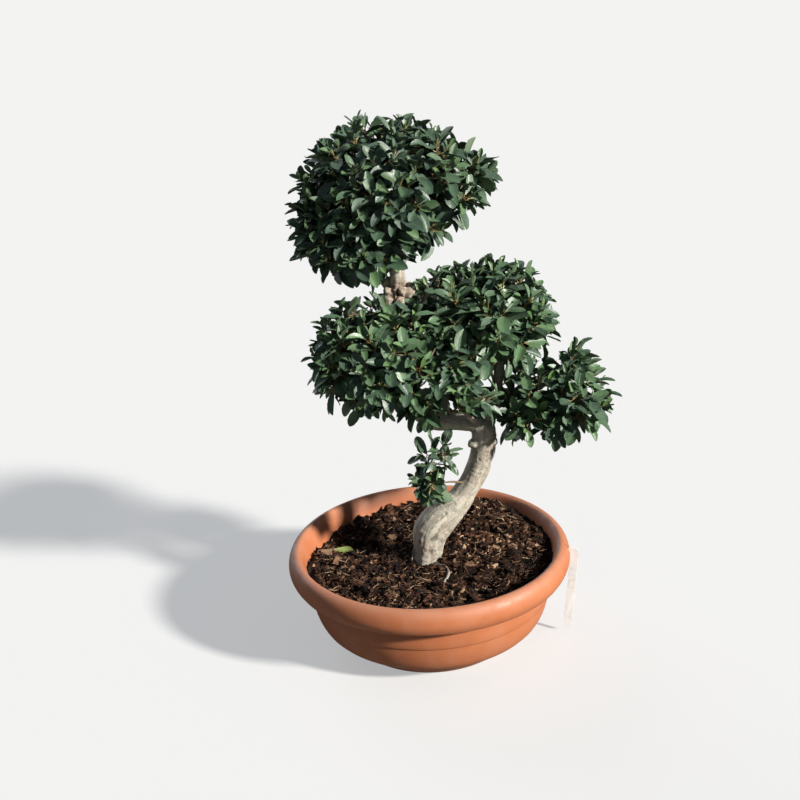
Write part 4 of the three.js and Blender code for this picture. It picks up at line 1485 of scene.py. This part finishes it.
@dataclass
class Foliage:
    """Turns shoots into leaves, as this ficus carries them: small and upright at the tip, broad below."""

    length: float = 42 * MM
    leaves: int = 8
    inner_leaves: int = 6
    spacing: float = 3.6 * MM
    tightest: float = 0.35
    widest: float = 1.5
    wood_clearance: float = 2 * MM
    # How far leaves stray from the pattern: round the shoot, in their tilt and in the way they face
    turn_scatter: float = 0.22
    tilt_scatter: float = 0.14
    facing_scatter: float = 0.16
    sag: float = 0.06
    size_range: Pair = (0.72, 1.1)
    droop_range: Pair = (0.05, 0.75)
    fold_range: Pair = (0.18, 0.62)
    tone_scatter: float = 0.17
    # The range of whole shoots' tones, from dark to bright
    moods: Pair = (0.2, 0.85)
    blades: Blades = field(default_factory=Blades)

    def leaves_of(self, shoot: Shoot, rng: np.random.Generator) -> list[Leaf]:
        """The leaves of one shoot.

        Args:
            shoot: the shoot.
            rng: the source of the draws.

        Returns:
            Its leaves, from the youngest to the oldest.
        """
        count = self.inner_leaves if shoot.inner else self.leaves + int(rng.integers(-2, 2))
        across = unit(np.cross(shoot.axis, rng.normal(size=3)))
        other = np.cross(shoot.axis, across)
        outward = unit(shoot.heart - shoot.origin)
        mood = rng.uniform(*self.moods)
        leaves = []
        for index in range(count):
            age = index / (count - 1)
            angle = index * GOLDEN_ANGLE + rng.normal(0, self.turn_scatter)
            spoke = math.cos(angle) * across + math.sin(angle) * other
            spread = self.tightest + (self.widest - self.tightest) * age**0.7
            tilt = spread + rng.normal(0, self.tilt_scatter)
            direction = math.cos(tilt) * shoot.axis + math.sin(tilt) * spoke - UP * self.sag * age
            direction = unit(direction)
            facing = 0.85 * shoot.axis + 0.7 * UP + 0.2 * outward + rng.normal(0, self.facing_scatter, 3)
            normal = unit(facing - direction * (facing @ direction))
            grown = 0.5 + 0.5 * min(1.0, age * 2.2)
            length = self.length * grown * rng.uniform(*self.size_range)
            fresh = max(0.0, 0.7 - 2.4 * age) * rng.uniform(0.2, 1.0) * (not shoot.inner)
            spot = shoot.heart - shoot.axis * (self.spacing * index)
            tone = float(np.clip(mood + rng.normal(0, self.tone_scatter), 0, 1))
            droop = rng.uniform(*self.droop_range) * (0.5 + 0.5 * age)
            fold = rng.uniform(*self.fold_range)
            leaves.append(Leaf(spot, direction, normal, length, fresh, tone, droop, fold))
        return leaves

    def clear(self, leaves: list[Leaf], wood: Array, sightlines: Array) -> list[Leaf]:
        """Leaves out those that would reach into the wood or close a gap in the crown.

        Args:
            leaves: the leaves.
            wood: rows of x, y, z and radius along the limbs.
            sightlines: rows of x, y, z, direction and radius of gaps to keep open.

        Returns:
            The leaves that stay.
        """
        spots = np.array([leaf.spot for leaf in leaves])
        aims = np.array([leaf.direction * leaf.length for leaf in leaves])
        droops = np.array([leaf.normal * leaf.length * leaf.droop for leaf in leaves])
        kept = np.ones(len(leaves), bool)
        for share in (0.35, 0.65, 1.0):
            points = spots + aims * share - droops * share**2 / 2
            nearest, distance = nearest_rows(points, wood[:, :3])
            kept &= distance > wood[nearest, 3] + self.wood_clearance
            for row in sightlines:
                kept &= beside(points, row)
        return [leaf for leaf, stays in zip(leaves, kept) if stays]


@dataclass
class Twigs:
    """Grows thin shoots from the limbs out to every rosette, each from the nearest wood further in."""

    tip_radius: float = 1.15 * MM
    point_radius: float = 0.3 * MM
    taper: float = 0.014
    thickest: float = 3.4 * MM
    bud: float = 9 * MM
    # How much nearer to the shoot's origin its twig must start, how dear that depth is next to the way to
    # the shoot, how far before the shoot the twig falls in with its axis, and how far it sags
    deeper: float = 0.9
    depth_weight: float = 0.25
    run_in: float = 0.35
    sag: float = 0.04
    steps: int = 6
    sides: int = 4

    def add(self, parts: MeshParts, shoots: Sequence[Shoot], wood: Array) -> None:
        """Adds the twigs of a head to a mesh.

        Args:
            parts: where they go.
            shoots: the head's shoots.
            wood: rows of x, y, z and radius along the limbs.
        """
        nodes = [row[:3] for row in wood]
        order = sorted(shoots, key=lambda shoot: float(np.linalg.norm(shoot.heart - shoot.origin)))
        for shoot in order:
            places = np.array(nodes)
            depth = np.linalg.norm(places - shoot.origin, axis=1)
            gap = np.linalg.norm(places - shoot.heart, axis=1)
            deeper = depth < self.deeper * np.linalg.norm(shoot.heart - shoot.origin)
            start = places[np.where(deeper, gap + self.depth_weight * depth, gap + 1.0).argmin()]
            reach = float(np.linalg.norm(shoot.heart - start))
            bend = shoot.heart - shoot.axis * self.run_in * reach
            middle = start + (bend - start) * 0.5 - UP * self.sag * reach
            tip = shoot.heart + shoot.axis * self.bud
            radius = min(self.thickest, self.tip_radius + self.taper * reach)
            rows = np.array([start, middle, bend, shoot.heart, tip])
            slimmer = 0.8 * radius + 0.2 * self.tip_radius
            radii = np.array([radius, slimmer, 1.1 * self.tip_radius, self.tip_radius, self.point_radius])
            young = np.array([0.0, 0.1, 0.35, 0.85, 1.0])
            curve = smooth_curve(np.column_stack([rows, radii, young]), self.steps)
            values = np.concatenate([np.repeat(curve[:, 4], self.sides), curve[[0, -1], 4]])
            parts.add(*tube(curve[:, :3], curve[:, 3], self.sides), {"twig_young": values})
            nodes += [middle, bend]


@dataclass
class Head:
    """A rounded leafy head on lobes.

    A lobe is [x, y, z, half width, half depth, half height, rosettes], in millimetres.
    """

    node: str
    seed: int
    lobes: Sequence[Lobe]
    density: float = 3.0
    inner_density: float = 1.4
    sightlines: Sequence[Station] = ()
    moods: Pair = (0.2, 0.85)
    parting: float | None = None
    fewest: int = 6
    outer_reach: Pair = (0.88, 1.07)
    inner_reach: Pair = (0.5, 0.82)
    upward: float = 0.7
    turn_scatter: float = 0.45
    heart_scatter: float = 0.07
    axis_scatter: float = 0.16
    own_cover: float = 0.86
    other_cover: float = 0.98

    def shoots(self, others: Sequence[Lobe], rng: np.random.Generator) -> list[Shoot]:
        """The head's shoots: an outer layer over its lobes and a sparser inner one.

        Args:
            others: the lobes of the other heads, which it stays out of.
            rng: the source of the draws.

        Returns:
            The shoots.
        """
        made = []
        for inner, density in ((False, self.density), (True, self.inner_density)):
            for index, lobe in enumerate(self.lobes):
                centre, half = metres([lobe[:3]])[0], metres([lobe[3:6]])[0]
                count = max(self.fewest, round(lobe[6] * density))
                k = np.arange(count)
                z = 1 - (2 * k + 1) / count
                azimuth = k * GOLDEN_ANGLE + rng.uniform(-self.turn_scatter, self.turn_scatter, count)
                level = np.sqrt(1 - z**2)
                outward = np.stack([level * np.cos(azimuth), level * np.sin(azimuth), z], 1)
                outward = unit(outward + rng.normal(0, self.heart_scatter, outward.shape))
                reach = rng.uniform(*(self.inner_reach if inner else self.outer_reach), count)
                hearts = centre + half * outward * reach[:, None]
                stray = rng.normal(0, self.axis_scatter, outward.shape)
                axes = unit(unit(outward / half) + UP * self.upward + stray)
                limit = 0.0 if inner else self.own_cover
                mine = [each for place, each in enumerate(self.lobes) if place != index]
                free = self.clear_of(hearts, mine, limit) & self.clear_of(hearts, others, self.other_cover)
                kept = zip(hearts[free], axes[free])
                made += [Shoot(heart, axis, centre, inner) for heart, axis in kept]
        return made

    @staticmethod
    def clear_of(points: Array, lobes: Sequence[Lobe], limit: float) -> Array:
        """Whether each point lies outside the given share of every one of the lobes."""
        free = np.ones(len(points), bool)
        for lobe in lobes:
            off = (points - metres([lobe[:3]])) / metres([lobe[3:6]])
            free &= np.linalg.norm(off, axis=1) > limit
        return free

    def build(self, others: Sequence[Lobe], wood: Array, lens: Array) -> list[bpy.types.Object]:
        """Makes the head's leaves and its twigs.

        Args:
            others: the lobes of the other heads.
            wood: rows of x, y, z and radius along the limbs.
            lens: where the viewer stands, whom the gaps in the crown face.

        Returns:
            Its leaves, in two pieces where it is parted, and its twigs.
        """
        rng = np.random.default_rng(self.seed)
        shoots = self.shoots(others, rng)
        gaps = metres(self.sightlines).reshape(-1, 4)
        sightlines = np.array([[*row[:3], *unit(row[:3] - lens), row[3]] for row in gaps]).reshape(-1, 7)
        shoots = [shoot for shoot in shoots if all(beside(shoot.heart[None], row)[0] for row in sightlines)]
        groups = {f"{self.node}_leaves": shoots}
        if self.parting is not None:
            groups = {
                f"{self.node}_leaves_left": [shoot for shoot in shoots if shoot.heart[0] < self.parting],
                f"{self.node}_leaves_right": [shoot for shoot in shoots if shoot.heart[0] >= self.parting],
            }
        return make_foliage(self.node, groups, wood, sightlines, Foliage(moods=self.moods), rng)


def make_foliage(
    node: str,
    groups: dict[str, Sequence[Shoot]],
    wood: Array,
    sightlines: Array,
    foliage: Foliage,
    rng: np.random.Generator,
) -> list[bpy.types.Object]:
    """Makes the leaves and twigs of a set of shoots.

    Args:
        node: the CAD node that they stand for.
        groups: the shoots of each piece of leaves, by its name.
        wood: rows of x, y, z and radius along the limbs.
        sightlines: gaps to keep open.
        foliage: how the shoots carry their leaves.
        rng: the source of the draws.

    Returns:
        The leaves, a piece for each group, and the twigs, all dressed.
    """
    leaf_finish = bpy.data.materials.get("waxy_leaf") or WaxyLeaf().material()
    twig_finish = bpy.data.materials.get("twig_bark") or TwigBark().material()
    made = []
    twig_parts = MeshParts()
    for name, shoots in groups.items():
        parts = MeshParts()
        for inner, detail in ((False, Detail.FULL), (True, Detail.INNER)):
            chosen = [shoot for shoot in shoots if shoot.inner == inner]
            leaves = [leaf for shoot in chosen for leaf in foliage.leaves_of(shoot, rng)]
            if leaves:
                foliage.blades.add(parts, foliage.clear(leaves, wood, sightlines), detail, rng)
        Twigs().add(twig_parts, shoots, wood)
        made.append(dressed(parts.piece(name, crease=LEAF_CREASE), leaf_finish, node))
    return [*made, dressed(twig_parts.piece(f"{node}_twigs"), twig_finish, node)]


@dataclass
class Sprig:
    """The low sprig: a stem out of the trunk with two branches, and rosettes along them."""

    stems: ClassVar[list[Limb]] = [
        Limb([(66, -4, 292, 2.2), (44, -20, 302, 1.8), (28, -27, 304, 1.5), (10, -31, 303, 1.3)]),
        Limb([(20, -29, 304, 1.4), (8, -28, 328, 1.2), (-1, -27, 356, 1.0)]),
        Limb([(30, -26, 304, 1.5), (35, -26, 334, 1.3), (36, -26, 364, 1.0)]),
    ]
    # Each rosette's heart x, y, z in millimetres and the way it points
    rosettes: ClassVar[list[tuple]] = [
        (13, -34, 308, 0.3, -0.85, 0.5), (-3, -31, 301, -0.6, -0.6, 0.2), (5, -30, 286, -0.1, -0.5, -0.6),
        (-13, -25, 310, -0.9, 0.1, 0.3), (-5, -14, 291, -0.6, 0.5, -0.2), (-4, -27, 358, -0.8, -0.3, 0.4),
        (7, -24, 344, -0.1, 0.4, 0.6), (33, -26, 372, 0.1, -0.2, 1.0), (41, -28, 356, 0.9, -0.3, 0.3),
        (38, -26, 336, 0.6, -0.5, 0.0),
    ]
    foliage: Foliage = field(
        default_factory=lambda: Foliage(length=35 * MM, moods=(0.25, 1.0), blades=Blades(width_share=0.55))
    )
    # How far inside its heart a rosette grew from, in millimetres
    depth: float = 30.0
    spacing: float = 4 * MM
    stem_youth: float = 0.12
    seed: int = 17

    def build(self, wood: Array) -> list[bpy.types.Object]:
        """Makes the sprig's leaves and stems."""
        rng = np.random.default_rng(self.seed)
        shoots = []
        for x, y, z, *aim in self.rosettes:
            heart = np.array([x, y, z]) * MM
            axis = unit(np.array(aim))
            shoots.append(Shoot(heart, axis, heart - axis * self.depth * MM))
        stems = [limb.sampled(self.spacing) for limb in self.stems]
        everything = np.vstack([wood, *stems])
        groups = {"sprig_leaves": shoots}
        leaves, twigs = make_foliage("sprig", groups, everything, np.zeros((0, 7)), self.foliage, rng)
        parts = MeshParts()
        for rows in stems:
            parts.add(*tube(rows[:, :3], rows[:, 3], 8), {"twig_young": self.stem_youth})
        stem_piece = dressed(parts.piece("sprig_stems"), twigs.data.materials[0], "sprig")
        return [leaves, twigs, stem_piece]


@dataclass
class DroppedLeaf:
    """A fallen leaf at the left, turning yellow, that lies on the mulch."""

    root: Pair = (-0.180, 0.062)
    heading: float = math.radians(-7)
    length: float = 39 * MM
    lift: float = 1.2 * MM

    def build(self, soil: Soil) -> list[bpy.types.Object]:
        """Makes the leaf, laid on the highest ground under it."""
        direction = np.array([math.cos(self.heading), math.sin(self.heading), 0.06])
        along = np.linspace(0, 1.1, 12)
        x = self.root[0] + along * self.length
        y = self.root[1] + along * self.length * math.sin(self.heading)
        spot = np.array([*self.root, float(soil.height(x, y).max()) + self.lift])
        normal = unit(np.array([0.1, -0.35, 1.0]))
        leaf = Leaf(spot, unit(direction), normal, self.length, fresh=0.75, tone=0.9, droop=0.25, fold=0.35)
        parts = MeshParts()
        Blades().add(parts, [leaf], Detail.FULL, np.random.default_rng(3))
        finish = WaxyLeaf(name="fallen_leaf", bright=(0.16, 0.26, 0.05), young=(0.30, 0.36, 0.07)).material()
        return [dressed(parts.piece("fallen_leaf", crease=LEAF_CREASE), finish, "dropped_leaf")]


@dataclass
class PlantTag:
    """A blank hooked strip that hangs from the slit in the rim and bows a little outwards."""

    width: float = 14 * MM
    length: float = 158 * MM
    thickness: float = 1.0 * MM
    lean: float = math.radians(5)
    rim_radius: float = 250 * MM
    standoff: float = 1.2 * MM
    neck: float = 162.35 * MM
    hook_rise: float = 9 * MM
    hook_drop: float = 8 * MM
    corner: float = 3 * MM
    bow: float = 1.4 * MM
    bevel: float = 0.15 * MM

    def outline(self) -> Array:
        """The strip's outline as rows of radius and height."""
        top = self.neck + self.hook_rise
        bottom = top - self.length
        chamfer = 0.8 * MM

        def edge(z: float, across: float) -> Pair:
            """A point of the hanging blade, at a height and a distance from its inner edge."""
            return self.rim_radius + self.standoff + across - max(self.neck - z, 0) * math.tan(self.lean), z

        hook = [
            (self.rim_radius - 11 * MM, self.neck - self.hook_drop),
            (self.rim_radius - 7.5 * MM, self.neck - self.hook_drop),
            (self.rim_radius - 6.5 * MM, self.neck),
        ]
        down = [edge(z, 0) for z in np.linspace(self.neck, bottom + self.corner, 18)]
        end = [
            edge(bottom + chamfer, chamfer),
            edge(bottom, self.corner),
            edge(bottom, self.width - self.corner),
            edge(bottom + chamfer, self.width - chamfer),
        ]
        rise = [edge(z, self.width) for z in np.linspace(bottom + self.corner, self.neck, 18)]
        arc = [
            edge(self.neck + self.hook_rise * math.sin(a), 1 * MM + (self.width - 1 * MM) * math.cos(a))
            for a in np.linspace(0.3, 1.5, 6)
        ]
        back = [edge(top, 1 * MM), (self.rim_radius - 8 * MM, self.neck + 6 * MM)]
        return np.array([*hook, *down, *end, *rise, *arc, *back])

    def build(self) -> list[bpy.types.Object]:
        """Makes the tag as a plate with softened edges."""
        outline = self.outline()
        count = len(outline)
        bow = self.bow * np.sin(np.clip((self.neck - outline[:, 1]) / self.length, 0, 1) * math.pi)
        tangent = unit(np.roll(outline, -1, axis=0) - np.roll(outline, 1, axis=0))
        inward = np.column_stack([-tangent[:, 1], tangent[:, 0]])
        layers = []
        for level, inset in ((-0.5, self.bevel), (-0.3, 0.0), (0.3, 0.0), (0.5, self.bevel)):
            ring = outline + inward * inset
            layers.append(np.column_stack([ring[:, 0], self.thickness * level + bow, ring[:, 1]]))
        vertices = turned_to(np.vstack(layers), Bowl.tag_angle)
        faces = ring_faces(len(layers), count)[:, ::-1].tolist()
        faces += [list(range(count)), list(range(3 * count, 4 * count))[::-1]]
        mesh = bpy.data.meshes.new("blank_tag")
        mesh.from_pydata(vertices.tolist(), [], faces)
        mesh.update()
        return [dressed(placed("blank_tag", mesh), BlankFilm().material(), "plant_tag")]


# The studio


def pose(right: Vector, up: Vector, back: Vector, place: Vector) -> Matrix:
    """The matrix of a camera or light at a place, by the ways to its right, its top and its back."""
    rows = [(*axes, along) for axes, along in zip(zip(right, up, back), place)]
    return Matrix([*rows, (0.0, 0.0, 0.0, 1.0)])


@dataclass
class Studio:
    """The camera at the photograph's angle, a key light, soft fill and a plain pale floor."""

    lens: float = 52.33
    sensor: float = 36.0
    place: tuple[float, float, float] = (-0.0352, -1.8532, 1.1418)
    pitch: float = math.radians(20.449)
    roll: float = math.radians(-3.4)
    key_direction: tuple[float, float, float] = (0.745, -0.500, 0.442)
    key_spread: float = math.radians(5)
    key_strength: float = 7.0
    key_colour: Colour = (1.0, 0.965, 0.90)
    fill_direction: tuple[float, float, float] = (-0.50, 0.82, 0.28)
    fill_spread: float = math.radians(50)
    fill_strength: float = 1.1
    fill_colour: Colour = (0.88, 0.94, 1.0)
    sky: Colour = (0.62, 0.80, 1.0)
    sky_strength: float = 0.17
    backdrop: Colour = (0.90, 0.90, 0.895)
    floor_radius: float = 120.0
    floor_sides: int = 96
    floor_height: float = -0.2 * MM

    def build(self) -> None:
        """Sets up the camera, the light and the floor."""
        self.camera()
        self.sun("key", self.key_direction, self.key_spread, self.key_strength, self.key_colour)
        self.sun("fill", self.fill_direction, self.fill_spread, self.fill_strength, self.fill_colour)
        self.world()
        self.floor()
        bpy.context.scene.view_settings.view_transform = "Standard"

    def camera(self) -> None:
        """Places the camera as the photograph was taken."""
        data = bpy.data.cameras.new("camera")
        data.lens, data.sensor_width = self.lens, self.sensor
        data.clip_end = 2 * self.floor_radius
        made = placed("camera", data)
        cp, sp, cr, sr = math.cos(self.pitch), math.sin(self.pitch), math.cos(self.roll), math.sin(self.roll)
        made.matrix_world = pose((cr, sr * sp, sr * cp), (-sr, cr * sp, cr * cp), (0.0, -cp, sp), self.place)
        bpy.context.scene.camera = made

    @staticmethod
    def sun(name: str, direction: Vector, spread: float, strength: float, colour: Colour) -> None:
        """Adds a far light.

        Args:
            name: its name.
            direction: the way from the tree to the light.
            spread: how broad it looks, which softens its shadows.
            strength: its power.
            colour: its colour.
        """
        data = bpy.data.lights.new(name, "SUN")
        data.angle, data.energy, data.color = spread, strength, colour
        back = unit(np.array(direction))
        right = unit(np.cross(UP, back))
        placed(name, data).matrix_world = pose(right, np.cross(back, right), back, (0.0, 0.0, 0.0))

    def world(self) -> None:
        """Adds the fill from all round, behind which the viewer sees a plain pale backdrop."""
        world = bpy.data.worlds.new("studio")
        world.use_nodes = True
        world.node_tree.nodes.clear()
        graph = Graph(world.node_tree)
        seen = graph.node("ShaderNodeLightPath").outputs["Is Camera Ray"]
        colour = graph.mixed(seen, self.sky, self.backdrop)
        strength = graph.ranged(seen, 0.0, 1.0, self.sky_strength, 1.0)
        fill = graph.node("ShaderNodeBackground", {"Color": colour, "Strength": strength})
        graph.node("ShaderNodeOutputWorld", {"Surface": fill.outputs[0]})
        bpy.context.scene.world = world

    def floor(self) -> None:
        """Adds the floor."""
        radius, height = self.floor_radius, self.floor_height
        angles = round_angles(self.floor_sides)
        vertices = [(radius * math.cos(a), radius * math.sin(a), height) for a in angles]
        mesh = bpy.data.meshes.new("studio_floor")
        mesh.from_pydata(vertices, [], [list(range(self.floor_sides))])
        mesh.materials.append(PaleFloor().material())
        made = placed("studio_floor", mesh)


@dataclass
class Bonsai:
    """The whole tree in its bowl."""

    heads: ClassVar[list[Head]] = [
        Head(
            "crown_top",
            3,
            [
                (-31, 5, 820, 135, 122, 90, 47),
                (-100, -8, 766, 79, 80, 64, 24),
                (-80, -28, 744, 84, 80, 54, 22),
                (96, -4, 830, 27, 30, 23, 3),
            ],
        ),
        Head(
            "crown_middle",
            5,
            [
                (-60, -22, 541, 109, 100, 82, 38),
                (124, 30, 581, 95, 100, 81, 35),
                (66, 22, 597, 78, 86, 60, 18),
                (44, -14, 528, 84, 84, 60, 22),
                (50, -50, 471, 65, 56, 38, 16),
            ],
            sightlines=[
                (7, 0, 472, 12), (134, 0, 500, 11), (112, 0, 470, 8), (52, 0, 436, 8), (86, 8, 396, 14),
                (66, 10, 402, 14), (46, 12, 402, 13), (100, 5, 380, 14),
            ],
            moods=(0.45, 1.0),
            parting=34 * MM,
        ),
        Head(
            "crown_right",
            9,
            [
                (240, 0, 440, 69, 68, 54, 20),
                (190, -4, 452, 42, 50, 50, 10),
                (174, -14, 420, 30, 42, 30, 9),
                (256, 4, 482, 24, 26, 48, 7),
            ],
            density=2.2,
            inner_density=0.8,
            sightlines=[
                (197, 0, 494, 7), (212, 0, 450, 9), (283, 0, 445, 7), (304, 0, 471, 6),
                (187, 0, 391, 6), (256, 0, 403, 6), (241, 0, 535, 17), (226, 0, 512, 9),
            ],
            moods=(0.42, 1.0),
        ),
    ]

    def build(self, lens: Array) -> None:
        """Builds every piece in order and reports it."""
        wood, soil = Wood(), Soil()
        self.report(Bowl().build())
        self.report(soil.build())
        self.report(wood.build())
        samples = wood.samples()
        for head in self.heads:
            others = [lobe for other in self.heads if other is not head for lobe in other.lobes]
            self.report(head.build(others, samples, lens))
        self.report(Sprig().build(samples))
        self.report(DroppedLeaf().build(soil))
        self.report(PlantTag().build())

    @staticmethod
    def report(pieces: Sequence[bpy.types.Object]) -> None:
        """Logs each piece and its number of triangles."""
        for piece in pieces:
            triangles = len(piece.data.loops) - 2 * len(piece.data.polygons)
            log.info("%s: %d triangles", piece.name, triangles)


def main() -> None:
    """Builds the studio and the bonsai."""
    logging.basicConfig(level=logging.INFO, format="%(name)s: %(message)s")
    studio = Studio()
    studio.build()
    Bonsai().build(np.array(studio.place))


if __name__ == "__main__":
    main()
